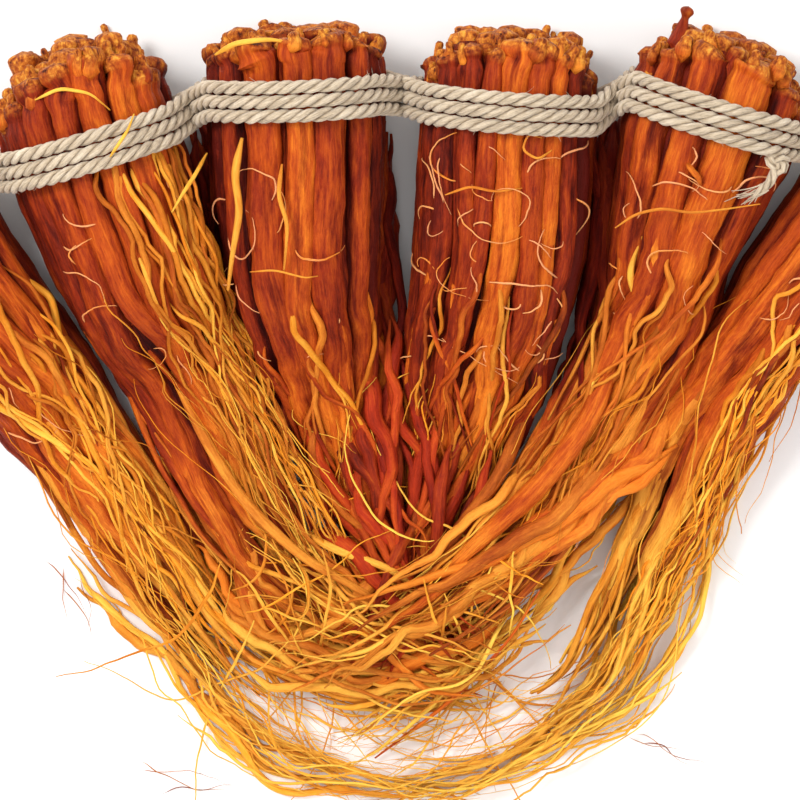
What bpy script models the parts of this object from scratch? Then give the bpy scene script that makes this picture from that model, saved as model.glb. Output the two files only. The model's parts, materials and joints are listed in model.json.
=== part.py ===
"""Six bunches of dried red ginseng roots, laced side by side on one twisted cord.

The lacing lies in a fan on the plane z = 0, with the crowns towards +Y and the tails swept together
towards -Y. The roots of a bunch are one body, and the cord with its knot is another.
Sizes here are in millimetres, and MM turns them into metres. Angles are in degrees.
"""

import math
import random

import bmesh
import bpy
from mathutils import Vector

MM = 0.001
UP = Vector((0.0, 0.0, 1.0))

# The middle of the fan's bounding box, as read on the plan that the bunches are placed on.
FAN_MIDDLE = Vector((-0.78, -0.08, 0.0))

# The cord passes three times over each bunch and three times behind it.
CORD_DIAMETER = 3.4
PASS_PITCH = 3.3
VALLEY_HEIGHT = 0.5
CORD_CLEARANCE = 0.9
CORD_ABOVE_FLOOR = 0.45
CORD_STEP = 24.0
END_OVERLAP = 10.0
END_SCALE = 0.8

# The knot sits on the right bunch, at the band's lower edge, with a short loose end. KNOT_ANGLE is the
# outward direction there. The loose end's points and radii run down the bunch, across it and outwards.
KNOTTED_BUNCH = 4
KNOT_ANGLE = 50.0
KNOT_RADII = (2.7, 2.3, 2.5)
KNOT_BELOW_BAND = 0.6
KNOT_LIFT = 0.7
LOOSE_END = ((0.0, 0.0, 0.0), (3.5, 0.0, 0.6), (6.5, -1.5, 1.0), (9.0, -3.5, 0.8))
LOOSE_END_RADII = (1.5, 1.4, 1.2, 0.8)
LOOSE_END_SIDES = 6

# Each bunch is squeezed to the same oval where the cord goes round it.
WAIST_HALF_WIDTH = 19.5
WAIST_HALF_DEPTH = 17.0
WAIST_HALF_LENGTH = 8.0
WAIST_MIDDLE = WAIST_HALF_DEPTH + CORD_CLEARANCE + CORD_DIAMETER + CORD_ABOVE_FLOOR

# A bunch's cross-sections are numbered from the crown: 0 is the crown's top, 1 and 2 the ends of the waist,
# 3 the body, 4 the lower body, 5 where the tails part, 6 the main tails' tips, and 7 and 8 are rootlets only.
WAIST_TOP, WAIST_END, BODY, LOWER, TAIL, TIPS = 1, 2, 3, 4, 5, 6
FLOOR = 0.0
BELOW_FLOOR = -1.0
TRIM_BLOCK_SIDE = 500.0
TRIM_BLOCK_HEIGHT = 100.0
SEED = 700

# Main roots. A range is where a seeded draw falls, places along a bunch are in its section numbers, and
# shares are of ROOT_RADIUS or of the cross-section.
ROOTS_IN_BUNCH = 11
ROOT_SIDES = 5
ROOT_RADIUS = 4.1
ROOT_TAPER = (0.95, 1.0, 1.0, 1.0, 0.8, 0.46, 0.17)
ROOT_STATIONS = (WAIST_TOP, WAIST_END, BODY, 3.8, 4.6, 5.3, TIPS)
ROOT_ANGLE_PLAY = 0.16
ROOT_RADIUS_SHARES = (0.84, 1.0)
ROOT_TIPS = (-0.15, 0.3)
ROOT_DRIFT = 0.12
ROOT_WAVES = (0.04, 0.1)
ROOT_WAVE_TURN = 2.3
ROOT_INSET = 0.07
ROOT_TAIL_INSET = 0.6
LOOSENING = 1.5

# Crowns. The heads at a bunch's sides end lower than those in its middle, but no lower than LOWEST_TIP.
CROWN_HEADS = 5
CROWN_SWELL = 1.18
CROWN_TIP = 0.66
CROWN_SHOULDER = 0.22
LOWEST_TIP = 0.5
HEAD_ANGLE_PLAY = 0.4
HEAD_REACHES = (0.2, 0.62)
HEAD_TOPS = (-0.3, 0.0)
HEAD_RADII = (3.2, 4.2)
HEAD_TAPER = (0.6, 1.0, 0.8)
HEAD_SHOULDER = 0.2
HEAD_END = 0.8
SPIKE_STATIONS = (-0.36, -0.27, -0.14, 0.1, 0.5)
SPIKE_RADII = (0.9, 1.8, 0.9, 1.3, 2.8)
SPIKE_ROOM = 3.0

# Rootlets, and the core of inner roots that the outer ones stand out of.
ROOTLET_SIDES = 3
ROOTLET_RADII = (0.95, 0.4)
ROOTLET_STATIONS = 6
ROOTLET_STARTS = (3.5, 4.8)
ROOTLET_PAST_TIPS = 0.2
ROOTLET_V_REACH = 0.9
ROOTLET_WAVE = 0.25
ROOTLET_WAVE_TURN = 3.1
CORE_SIDES = 10
CORE_INSET = 4.8
CORE_STATIONS = (0.3, WAIST_TOP, WAIST_END, BODY, 3.5, 4.1, 4.6)
CORE_CLOSING_FROM = 3.4
CORE_CLOSING_LENGTH = 1.2
CORE_CLOSING = 0.75
CROWN_EXTRA_DEPTH = 3.0

# Fusing splits faces along each seam, and these shares of them are enough for the shapes.
KEPT_ROOT_FACES = 0.58
KEPT_CORD_FACES = 0.85

# Edges sharper than this, in degrees, stay creased in the smooth shading.
ROOT_CREASE = 80.0
CORD_CREASE = 35.0

ROOT_COLOUR = (0.52, 0.15, 0.035, 1.0)
CORD_COLOUR = (0.66, 0.58, 0.44, 1.0)


class Bunch:
    """One bunch: its middle line on the plan, and how wide, how deep and how high it lies along that line.

    below holds the sections after the waist, each as x, y, half width, half depth and lowest height, dome
    is how much lower the crown is at its sides, and spike is where across and up its tallest head stands.
    """

    def __init__(self, name, crown, crown_half_width, dome, cord, below, rootlets, spike=None):
        self.name = name
        self.cord = Vector((*cord, 0.0))
        self.axis = (Vector((*below[0][:2], 0.0)) - Vector((*crown, 0.0))).normalized()
        self.across = Vector((-self.axis.y, self.axis.x, 0.0))
        self.rootlets = rootlets
        self.spike = spike
        reach = self.axis * WAIST_HALF_LENGTH
        self.middles = [Vector((*crown, 0.0)), self.cord - reach, self.cord + reach]
        self.middles += [Vector((x, y, 0.0)) for x, y, *_ in below]
        self.dome = dome / (self.middles[WAIST_TOP] - self.middles[0]).length
        waist_bottom = WAIST_MIDDLE - WAIST_HALF_DEPTH
        self.widths = [crown_half_width, WAIST_HALF_WIDTH, WAIST_HALF_WIDTH]
        self.widths += [section[2] for section in below]
        self.depths = [WAIST_HALF_DEPTH + CROWN_EXTRA_DEPTH, WAIST_HALF_DEPTH, WAIST_HALF_DEPTH]
        self.depths += [section[3] for section in below]
        self.bottoms = [BELOW_FLOOR, waist_bottom, waist_bottom]
        self.bottoms += [section[4] for section in below]
        self.last = len(self.middles) - 1

    def middle(self, t):
        """The middle line: straight through the crown and the waist, and a smooth curve below them."""
        if t <= WAIST_END:
            return between(self.middles, t, stretch=True)
        return smooth(self.middles, t)

    def side(self, t):
        """The direction across the bunch, level and to the right as seen with the crown on top."""
        if t <= WAIST_END:
            return self.across
        ahead = self.middle(min(t + 0.05, self.last)) - self.middle(t - 0.05)
        return Vector((-ahead.y, ahead.x, 0.0)).normalized()

    def place(self, t, u, v, radius):
        """The point at u across and v up, each from -1 to 1, for a root of this radius."""
        half_width = max(between(self.widths, t) - radius, 0.0)
        half_depth = max(between(self.depths, t) - radius, 0.0)
        height = between(self.bottoms, t) + between(self.depths, t)
        return self.middle(t) + self.side(t) * (half_width * u) + UP * (height + half_depth * v)


# The plan follows the fan: each bunch leans further out than its inner neighbour, and the right and left
# bunches' tails lie over those of the middle two, so that no two bunches touch.
BUNCHES = (
    Bunch(
        "bunch_far_left",
        (-128.3, 54.1),
        20.5,
        8.0,
        (-116.3, 39.5),
        (
            (-94.0, 14.1, 14.6, 18.0, BELOW_FLOOR),
            (-79.2, -7.5, 13.6, 11.0, BELOW_FLOOR),
            (-56.6, -41.4, 12.5, 5.0, FLOOR),
            (-39.0, -67.0, 10.5, 2.3, FLOOR),
            (-18.5, -82.5, 10.0, 2.2, FLOOR),
            (10.5, -86.0, 9.0, 2.2, FLOOR),
        ),
        rootlets=11,
    ),
    Bunch(
        "bunch_left",
        (-76.4, 81.1),
        20.5,
        9.0,
        (-71.7, 60.2),
        (
            (-59.7, 25.9, 18.2, 20.0, BELOW_FLOOR),
            (-49.4, 4.7, 15.2, 11.0, BELOW_FLOOR),
            (-34.0, -28.2, 15.5, 4.4, 9.2),
            (-12.9, -50.5, 12.5, 2.8, 9.0),
            (11.8, -58.8, 11.0, 2.2, 9.2),
            (28.2, -70.5, 11.0, 2.0, 9.6),
        ),
        rootlets=11,
    ),
    Bunch(
        "bunch_mid_left",
        (-25.6, 87.2),
        22.5,
        3.0,
        (-24.4, 72.0),
        (
            (-23.4, 30.6, 18.8, 20.0, BELOW_FLOOR),
            (-18.8, 5.9, 13.6, 10.0, BELOW_FLOOR),
            (-11.8, -18.8, 8.6, 4.2, FLOOR),
            (-7.0, -44.7, 5.0, 2.5, FLOOR),
            (-6.6, -58.8, 4.0, 2.0, FLOOR),
        ),
        rootlets=6,
    ),
    Bunch(
        "bunch_mid_right",
        (27.5, 87.0),
        22.5,
        7.0,
        (25.4, 69.3),
        (
            (23.5, 32.9, 20.2, 20.0, BELOW_FLOOR),
            (18.3, 4.7, 18.0, 10.5, BELOW_FLOOR),
            (12.2, -18.8, 12.2, 4.2, FLOOR),
            (5.9, -44.7, 5.6, 2.5, FLOOR),
            (7.0, -58.8, 5.0, 2.0, FLOOR),
        ),
        rootlets=7,
    ),
    Bunch(
        "bunch_right",
        (78.7, 84.6),
        20.5,
        8.0,
        (73.3, 67.5),
        (
            (63.9, 36.4, 15.2, 19.0, BELOW_FLOOR),
            (56.4, 11.8, 13.2, 12.0, BELOW_FLOOR),
            (34.6, -24.7, 11.0, 5.0, 7.0),
            (13.5, -47.0, 11.0, 3.0, 14.6),
            (-7.0, -58.8, 10.0, 2.2, 14.8),
            (-25.9, -67.0, 11.0, 2.0, 15.0),
        ),
        rootlets=10,
        spike=(-0.78, 0.2),
    ),
    Bunch(
        "bunch_far_right",
        (127.4, 59.5),
        20.5,
        8.0,
        (114.7, 45.8),
        (
            (91.5, 22.0, 14.2, 18.0, BELOW_FLOOR),
            (76.0, -1.8, 12.2, 11.0, BELOW_FLOOR),
            (60.5, -36.0, 12.5, 5.0, FLOOR),
            (44.0, -68.5, 10.5, 2.3, 3.9),
            (22.0, -81.5, 10.0, 2.0, 4.6),
            (-6.0, -84.0, 9.0, 1.9, 4.8),
        ),
        rootlets=11,
    ),
)


def between(values, t, stretch=False):
    """The value at t in a list, on the straight line between its neighbours."""
    index = min(max(int(math.floor(t)), 0), len(values) - 2)
    share = t - index
    if not stretch:
        share = min(max(share, 0.0), 1.0)
    return values[index] * (1.0 - share) + values[index + 1] * share


def smooth(points, t):
    """The point at t on a smooth curve through the points."""
    index = min(int(math.floor(t)), len(points) - 2)
    share = t - index
    start, end = points[index], points[index + 1]
    before = points[index - 1]
    after = points[index + 2] if index + 2 < len(points) else end * 2.0 - start
    leave = (end - before) * 0.5
    arrive = (after - start) * 0.5
    square, cube = share**2, share**3
    return (
        start * (2.0 * cube - 3.0 * square + 1.0)
        + leave * (cube - 2.0 * square + share)
        + end * (3.0 * square - 2.0 * cube)
        + arrive * (cube - square)
    )


def ease(share):
    """Rises smoothly from 0 to 1."""
    share = min(max(share, 0.0), 1.0)
    return share * share * (3.0 - 2.0 * share)


def clear_scene():
    for thing in list(bpy.data.objects):
        bpy.data.objects.remove(thing, do_unlink=True)


def make_material(name, colour, roughness):
    look = bpy.data.materials.new(name)
    look.use_nodes = True
    shader = look.node_tree.nodes["Principled BSDF"]
    shader.inputs["Base Color"].default_value = colour
    shader.inputs["Roughness"].default_value = roughness
    shader.inputs["Metallic"].default_value = 0.0
    return look


def add_mesh(name, points, faces):
    """A mesh object on the fan's frame, from points in millimetres on the plan."""
    mesh = bpy.data.meshes.new(name)
    mesh.from_pydata([(point - FAN_MIDDLE) * MM for point in points], [], faces)
    draft = bmesh.new()
    draft.from_mesh(mesh)
    bmesh.ops.triangulate(draft, faces=draft.faces)
    bmesh.ops.recalc_face_normals(draft, faces=draft.faces)
    draft.to_mesh(mesh)
    draft.free()
    thing = bpy.data.objects.new(name, mesh)
    bpy.context.scene.collection.objects.link(thing)
    return thing


def sweep(name, rings):
    """A closed body through rings of points that all have the same number of points."""
    count = len(rings[0])
    points = [point for ring in rings for point in ring]
    faces = []
    for ring in range(len(rings) - 1):
        first = ring * count
        for corner in range(count):
            after = (corner + 1) % count
            faces.append((first + corner, first + after, first + count + after, first + count + corner))
    faces.append(tuple(reversed(range(count))))
    faces.append(tuple(range(len(points) - count, len(points))))
    return add_mesh(name, points, faces)


def tube(name, path, radii, sides, turn=0.0):
    """A closed tube along the path, with a radius for each of its points."""
    rings = []
    for index, point in enumerate(path):
        ahead = path[min(index + 1, len(path) - 1)] - path[max(index - 1, 0)]
        right = ahead.cross(UP).normalized()
        top = right.cross(ahead).normalized()
        ring = []
        for corner in range(sides):
            angle = 2.0 * math.pi * corner / sides + turn
            ring.append(point + (right * math.cos(angle) + top * math.sin(angle)) * radii[index])
        rings.append(ring)
    return sweep(name, rings)


def keep_main_body(mesh):
    """Drops loose scraps, and fills what fusing sealed in, by keeping only the largest shell."""
    neighbours = {}
    for edge in mesh.edges:
        start, end = edge.vertices
        neighbours.setdefault(start, []).append(end)
        neighbours.setdefault(end, []).append(start)
    shells = []
    seen = set()
    for start in neighbours:
        if start in seen:
            continue
        shell = {start}
        waiting = [start]
        while waiting:
            for other in neighbours[waiting.pop()]:
                if other not in shell:
                    shell.add(other)
                    waiting.append(other)
        seen |= shell
        shells.append(shell)
    largest = max(shells, key=len)
    kept = sorted(largest)
    number = {old: new for new, old in enumerate(kept)}
    points = [mesh.vertices[old].co.copy() for old in kept]
    faces = [
        tuple(number[corner] for corner in face.vertices)
        for face in mesh.polygons
        if face.vertices[0] in largest
    ]
    body = bpy.data.meshes.new(mesh.name)
    body.from_pydata(points, [], faces)
    body.update()
    return body


def fuse(name, pieces, look, kept_faces, crease):
    """Unites overlapping pieces in one body, cut flat where it meets the floor, with few faces."""
    group = bpy.data.collections.new(name + "_pieces")
    bpy.context.scene.collection.children.link(group)
    for piece in pieces[1:]:
        bpy.context.scene.collection.objects.unlink(piece)
        group.objects.link(piece)
    bpy.ops.mesh.primitive_cube_add(size=1.0, location=(0.0, 0.0, -TRIM_BLOCK_HEIGHT / 2.0 * MM))
    floor = bpy.context.object
    floor.scale = (TRIM_BLOCK_SIDE * MM, TRIM_BLOCK_SIDE * MM, TRIM_BLOCK_HEIGHT * MM)
    union = pieces[0].modifiers.new("union", "BOOLEAN")
    union.operation = "UNION"
    union.operand_type = "COLLECTION"
    union.collection = group
    union.solver = "EXACT"
    fewer = pieces[0].modifiers.new("fewer", "DECIMATE")
    fewer.decimate_type = "COLLAPSE"
    fewer.ratio = kept_faces
    trim = pieces[0].modifiers.new("trim", "BOOLEAN")
    trim.operation = "DIFFERENCE"
    trim.object = floor
    trim.solver = "EXACT"
    fused = bpy.data.meshes.new_from_object(
        pieces[0].evaluated_get(bpy.context.evaluated_depsgraph_get())
    )
    body = keep_main_body(fused)
    body.name = name
    body.materials.append(look)
    body.shade_smooth()
    body.set_sharp_from_angle(angle=math.radians(crease))
    for piece in [*pieces, floor]:
        bpy.data.objects.remove(piece, do_unlink=True)
    bpy.data.collections.remove(group)
    bpy.data.meshes.remove(fused)
    thing = bpy.data.objects.new(name, body)
    bpy.context.scene.collection.objects.link(thing)
    return thing


class Root:
    """One main root of a bunch: where it runs in the bunch's cross-section, and how thick it is."""

    def __init__(self, bunch, draw, number):
        play = draw.uniform(-ROOT_ANGLE_PLAY, ROOT_ANGLE_PLAY)
        self.angle = 2.0 * math.pi * (number + play) / ROOTS_IN_BUNCH
        self.radius = ROOT_RADIUS * draw.uniform(*ROOT_RADIUS_SHARES)
        self.tip = min(draw.uniform(*ROOT_TIPS) + bunch.dome * math.cos(self.angle) ** 4, LOWEST_TIP)
        self.drift = draw.uniform(-ROOT_DRIFT, ROOT_DRIFT)
        self.wave = draw.uniform(*ROOT_WAVES)
        self.phase = draw.uniform(0.0, 2.0 * math.pi)
        self.inset = draw.uniform(0.0, ROOT_INSET) * (1.0 + math.sin(self.angle))
        self.tail_inset = draw.uniform(0.0, ROOT_TAIL_INSET)

    def spot(self, t):
        """Its place across and up in the cross-section at t."""
        loose = ease((t - WAIST_END) / LOOSENING)
        sway = self.drift * (t - WAIST_END) + self.wave * math.sin(ROOT_WAVE_TURN * t + self.phase)
        turn = self.angle + loose * sway
        inset = loose * (self.inset + self.tail_inset * ease((t - LOWER) / LOOSENING))
        return (1.0 - inset) * math.cos(turn), (1.0 - inset) * math.sin(turn)

    def thickness(self, t):
        return self.radius * between(ROOT_TAPER, t)


def main_root(bunch, root):
    """A root from its knobbed head in the crown to the tip of its tail."""
    path = []
    radii = []
    for t, scale in ((root.tip, CROWN_TIP), (root.tip + CROWN_SHOULDER, CROWN_SWELL)):
        radius = root.radius * scale
        path.append(bunch.place(t, *root.spot(t), radius))
        radii.append(radius)
    for t in ROOT_STATIONS:
        radius = root.thickness(t)
        path.append(bunch.place(t, *root.spot(t), radius))
        radii.append(radius)
    return tube("root", path, radii, ROOT_SIDES, turn=root.phase)


def crown_head(bunch, draw, number):
    """The head of a root that lies inside the bunch, seen only on top of the crown."""
    angle = 2.0 * math.pi * number / CROWN_HEADS + draw.uniform(-HEAD_ANGLE_PLAY, HEAD_ANGLE_PLAY)
    reach = draw.uniform(*HEAD_REACHES)
    u, v = reach * math.cos(angle), reach * math.sin(angle)
    top = draw.uniform(*HEAD_TOPS)
    radius = draw.uniform(*HEAD_RADII)
    path = [bunch.place(t, u, v, radius) for t in (top, top + HEAD_SHOULDER, HEAD_END)]
    return tube("head", path, [radius * scale for scale in HEAD_TAPER], ROOT_SIDES, turn=angle)


def spike_head(bunch):
    """A thin head that stands well above the crown and ends in a knob."""
    u, v = bunch.spike
    path = [bunch.place(t, u, v, SPIKE_ROOM) for t in SPIKE_STATIONS]
    return tube("spike", path, SPIKE_RADII, ROOT_SIDES)


def rootlet(bunch, draw, roots):
    """A thin root that leaves a main root and runs on past the main tails."""
    parent = roots[draw.randrange(len(roots))]
    start = draw.uniform(*ROOTLET_STARTS)
    end = draw.uniform(TIPS + ROOTLET_PAST_TIPS, bunch.last)
    u_goal = draw.uniform(-1.0, 1.0)
    v_goal = draw.uniform(-ROOTLET_V_REACH, ROOTLET_V_REACH)
    phase = draw.uniform(0.0, 2.0 * math.pi)
    path = []
    radii = []
    for step in range(ROOTLET_STATIONS):
        share = step / (ROOTLET_STATIONS - 1)
        t = start + (end - start) * share
        u, v = parent.spot(min(t, TIPS))
        leave = ease(t - start)
        u += leave * (u_goal + ROOTLET_WAVE * math.sin(ROOTLET_WAVE_TURN * t + phase) - u)
        v += leave * (v_goal - v)
        u = min(max(u, -1.0), 1.0)
        radius = ROOTLET_RADII[0] + (ROOTLET_RADII[1] - ROOTLET_RADII[0]) * share
        path.append(bunch.place(t, u, v, parent.thickness(t) if step == 0 else radius))
        radii.append(radius)
    return tube("rootlet", path, radii, ROOTLET_SIDES, turn=phase)


def core(bunch):
    """The bunch's inner roots, as one body that the outer roots stand out of."""
    rings = []
    for t in CORE_STATIONS:
        closing = 1.0 - CORE_CLOSING * ease((t - CORE_CLOSING_FROM) / CORE_CLOSING_LENGTH)
        ring = []
        for corner in range(CORE_SIDES):
            angle = 2.0 * math.pi * corner / CORE_SIDES
            ring.append(
                bunch.place(t, closing * math.cos(angle), closing * math.sin(angle), CORE_INSET)
            )
        rings.append(ring)
    return sweep("core", rings)


def build_bunch(bunch, number, look):
    draw = random.Random(SEED + number)
    roots = [Root(bunch, draw, index) for index in range(ROOTS_IN_BUNCH)]
    pieces = [core(bunch)]
    pieces += [main_root(bunch, root) for root in roots]
    pieces += [crown_head(bunch, draw, index) for index in range(CROWN_HEADS)]
    pieces += [rootlet(bunch, draw, roots) for _ in range(bunch.rootlets)]
    if bunch.spike:
        pieces.append(spike_head(bunch))
    return fuse(bunch.name, pieces, look, KEPT_ROOT_FACES, ROOT_CREASE)


def oval_reach(angle):
    """How far the cord's middle line stands from a bunch's middle, measured along its outward direction."""
    wide = (WAIST_HALF_WIDTH - ROOT_RADIUS) * math.cos(angle)
    deep = (WAIST_HALF_DEPTH - ROOT_RADIUS) * math.sin(angle)
    return math.hypot(wide, deep) + ROOT_RADIUS + CORD_CLEARANCE + CORD_DIAMETER / 2.0


def leaving_angle(bunch, other):
    """The outward direction, in radians, at which the cord leaves a bunch for the next one's other face."""
    half_gap = (other.cord - bunch.cord).length / 2.0
    low, high = 0.0, math.pi / 2.0
    for _ in range(40):
        angle = (low + high) / 2.0
        if half_gap * math.cos(angle) > oval_reach(angle):
            low = angle
        else:
            high = angle
    return low


def cord_point(bunch, angle, face):
    """The cord's middle line at an outward direction, over the bunch (face 1) or behind it (face -1)."""
    half_width = WAIST_HALF_WIDTH - ROOT_RADIUS
    half_depth = WAIST_HALF_DEPTH - ROOT_RADIUS
    wide = half_width**2 * math.cos(angle)
    deep = half_depth**2 * math.sin(angle)
    length = math.hypot(wide / half_width, deep / half_depth)
    outward = bunch.across * math.cos(angle) + UP * (face * math.sin(angle))
    on_oval = bunch.across * (wide / length) + UP * (face * deep / length)
    stand_off = ROOT_RADIUS + CORD_CLEARANCE + CORD_DIAMETER / 2.0
    return bunch.cord + UP * WAIST_MIDDLE + on_oval + outward * stand_off, outward


def band_section():
    """Three round passes side by side, as points along the bunch and outwards."""
    half = CORD_DIAMETER / 2.0
    upper = [(-PASS_PITCH, half), (-PASS_PITCH / 2.0, VALLEY_HEIGHT), (0.0, half)]
    upper += [(PASS_PITCH / 2.0, VALLEY_HEIGHT), (PASS_PITCH, half)]
    lower = [(along, -out) for along, out in reversed(upper)]
    return [(-PASS_PITCH - half, 0.0), *upper, (PASS_PITCH + half, 0.0), *lower]


def lacing_band(first_face):
    """The three passes that run from the far left bunch to the far right one, over and behind by turns."""
    section = band_section()
    rings = []
    for index, bunch in enumerate(BUNCHES):
        face = first_face if index % 2 == 0 else -first_face
        turned = 1.0 if index % 2 == 0 else -1.0
        start, end = math.pi, 0.0
        if index > 0:
            start -= leaving_angle(BUNCHES[index - 1], bunch)
        if index < len(BUNCHES) - 1:
            end = leaving_angle(bunch, BUNCHES[index + 1])
        steps = math.ceil(math.degrees(start - end) / CORD_STEP)
        for step in range(steps + 1):
            angle = start + (end - start) * step / steps
            middle, outward = cord_point(bunch, angle, face)
            rings.append(
                [middle + bunch.axis * along + outward * (turned * out) for along, out in section]
            )
    return rings


def tuck_ends(rings):
    """Runs a band's two ends on into the other band, a little thinner, so that the two fuse there."""
    last_face = 1.0 if len(BUNCHES) % 2 == 1 else -1.0
    start = shrunk_ring(rings[0], BUNCHES[0], 180.0 + END_OVERLAP, 1.0)
    end = shrunk_ring(rings[-1], BUNCHES[-1], -END_OVERLAP, last_face)
    return [start, *rings, end]


def shrunk_ring(ring, bunch, angle, face):
    """A copy of a band's ring, a little smaller, at another place round the bunch."""
    middle, _ = cord_point(bunch, math.radians(angle), face)
    centre = sum(ring, Vector()) / len(ring)
    return [middle + (point - centre) * END_SCALE for point in ring]


def knot(bunch):
    """The lump of the knot at the band's lower edge, and the cord's short loose end."""
    middle, outward = cord_point(bunch, math.radians(KNOT_ANGLE), 1.0)
    half_band = PASS_PITCH + CORD_DIAMETER / 2.0
    place = middle + bunch.axis * (half_band + KNOT_BELOW_BAND) + outward * KNOT_LIFT
    bpy.ops.mesh.primitive_ico_sphere_add(subdivisions=1, radius=1.0)
    ball = bpy.context.object
    points = [
        place
        + bunch.across * (vertex.co.x * KNOT_RADII[0])
        + bunch.axis * (vertex.co.y * KNOT_RADII[1])
        + outward * (vertex.co.z * KNOT_RADII[2])
        for vertex in ball.data.vertices
    ]
    faces = [tuple(face.vertices) for face in ball.data.polygons]
    bpy.data.objects.remove(ball, do_unlink=True)
    path = [
        place + bunch.axis * down + bunch.across * across + outward * out
        for down, across, out in LOOSE_END
    ]
    return [
        add_mesh("knot", points, faces),
        tube("loose_end", path, LOOSE_END_RADII, LOOSE_END_SIDES),
    ]


def build_cord(look):
    pieces = [
        sweep("band_over_left", tuck_ends(lacing_band(1.0))),
        sweep("band_behind_left", lacing_band(-1.0)),
    ]
    pieces += knot(BUNCHES[KNOTTED_BUNCH])
    return fuse("lacing_cord", pieces, look, KEPT_CORD_FACES, CORD_CREASE)


def main():
    clear_scene()
    root_look = make_material("dried_root", ROOT_COLOUR, 0.45)
    cord_look = make_material("twisted_cord", CORD_COLOUR, 0.9)
    for number, bunch in enumerate(BUNCHES):
        build_bunch(bunch, number, root_look)
    build_cord(cord_look)


main()
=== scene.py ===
"""The looks of the laced ginseng bunches: wrinkled roots, golden tails, fine rootlets and a twisted cord."""

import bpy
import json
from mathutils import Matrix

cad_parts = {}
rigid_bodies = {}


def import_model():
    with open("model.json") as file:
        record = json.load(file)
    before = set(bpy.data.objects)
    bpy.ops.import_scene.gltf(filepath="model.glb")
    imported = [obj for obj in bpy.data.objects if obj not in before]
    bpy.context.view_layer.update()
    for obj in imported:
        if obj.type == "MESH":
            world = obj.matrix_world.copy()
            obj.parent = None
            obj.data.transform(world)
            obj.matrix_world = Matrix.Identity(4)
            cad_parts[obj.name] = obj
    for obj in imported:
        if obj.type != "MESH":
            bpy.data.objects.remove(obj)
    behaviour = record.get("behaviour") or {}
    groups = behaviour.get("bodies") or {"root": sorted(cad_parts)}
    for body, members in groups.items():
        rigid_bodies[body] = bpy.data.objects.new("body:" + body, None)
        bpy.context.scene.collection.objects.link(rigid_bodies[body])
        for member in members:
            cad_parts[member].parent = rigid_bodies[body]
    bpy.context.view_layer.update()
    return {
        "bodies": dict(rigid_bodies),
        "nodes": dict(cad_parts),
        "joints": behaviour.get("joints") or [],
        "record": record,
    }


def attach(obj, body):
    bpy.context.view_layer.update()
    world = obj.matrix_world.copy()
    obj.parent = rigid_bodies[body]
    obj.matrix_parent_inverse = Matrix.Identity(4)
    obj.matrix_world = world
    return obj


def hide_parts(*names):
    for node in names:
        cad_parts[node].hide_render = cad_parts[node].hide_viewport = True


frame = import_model()

import json
import math

import bpy
import numpy as np

# Sizes and places are in millimetres on the plan of the fan, and MM turns them into metres.
MM = 0.001
UP = np.array((0.0, 0.0, 1.0))
FAN_MIDDLE = np.array((-0.78, -0.08, 0.0))
LOWEST = 0.15

CORD_DIAMETER = 3.4
PASS_PITCH = 3.3
CORD_CLEARANCE = 0.9
CORD_ABOVE_FLOOR = 0.45
ROOT_RADIUS = 4.1

WAIST_HALF_WIDTH = 19.5
WAIST_HALF_DEPTH = 17.0
WAIST_HALF_LENGTH = 8.0
CROWN_EXTRA_DEPTH = 3.0
WAIST_MIDDLE = WAIST_HALF_DEPTH + CORD_CLEARANCE + CORD_DIAMETER + CORD_ABOVE_FLOOR
BELOW_FLOOR = -1.0

# The camera looks almost straight down, leaning a little over the crowns.
VIEW_WIDTH = 188.0
VIEW_HEIGHT = 20.0
PIXEL = VIEW_WIDTH / 800.0
CAMERA_DISTANCE = 1200.0
CAMERA_LEAN = 8.0

# The loose strands bend away from the fan's lower edge, over this distance.
LOWER_EDGE = -101.0
EDGE_GIVE = 4.0

SPIKED_BUNCH = "bunch_right"
SPIKE_PLACE = (-0.78, 0.2)
KNOTTED_BUNCH = 4
KNOT_ANGLE = 50.0
LOOSE_END = ((0.0, 0.0, 0.0), (3.5, 0.0, 0.6), (6.5, -1.5, 1.0), (9.0, -3.5, 0.8))
FRAYED_FIBRES = 16
FUZZ_FIBRES = 700

# A bunch's sections are numbered from the crown: 0 its top, 1 and 2 the ends of the waist, 3 the body, 4 the
# lower body, 5 where the tails part, 6 the main tails' tips, and 7 and 8 where only fine rootlets run.
WAIST_TOP, WAIST_END, LOWER, TAIL, TIPS = 1, 2, 4, 5, 6
ROOT_TAPER = (0.98, 0.97, 0.97, 0.96, 0.88, 0.64, 0.26)

# What a bunch has where its own row doesn't say otherwise.
USUAL = {
    "crown_half_width": 20.5, "lower_crown": 0.0, "dome": 8.0, "gold_between": (-80.0, 80.0),
    "rootlets": 8, "hairs": 8,
}

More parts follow.
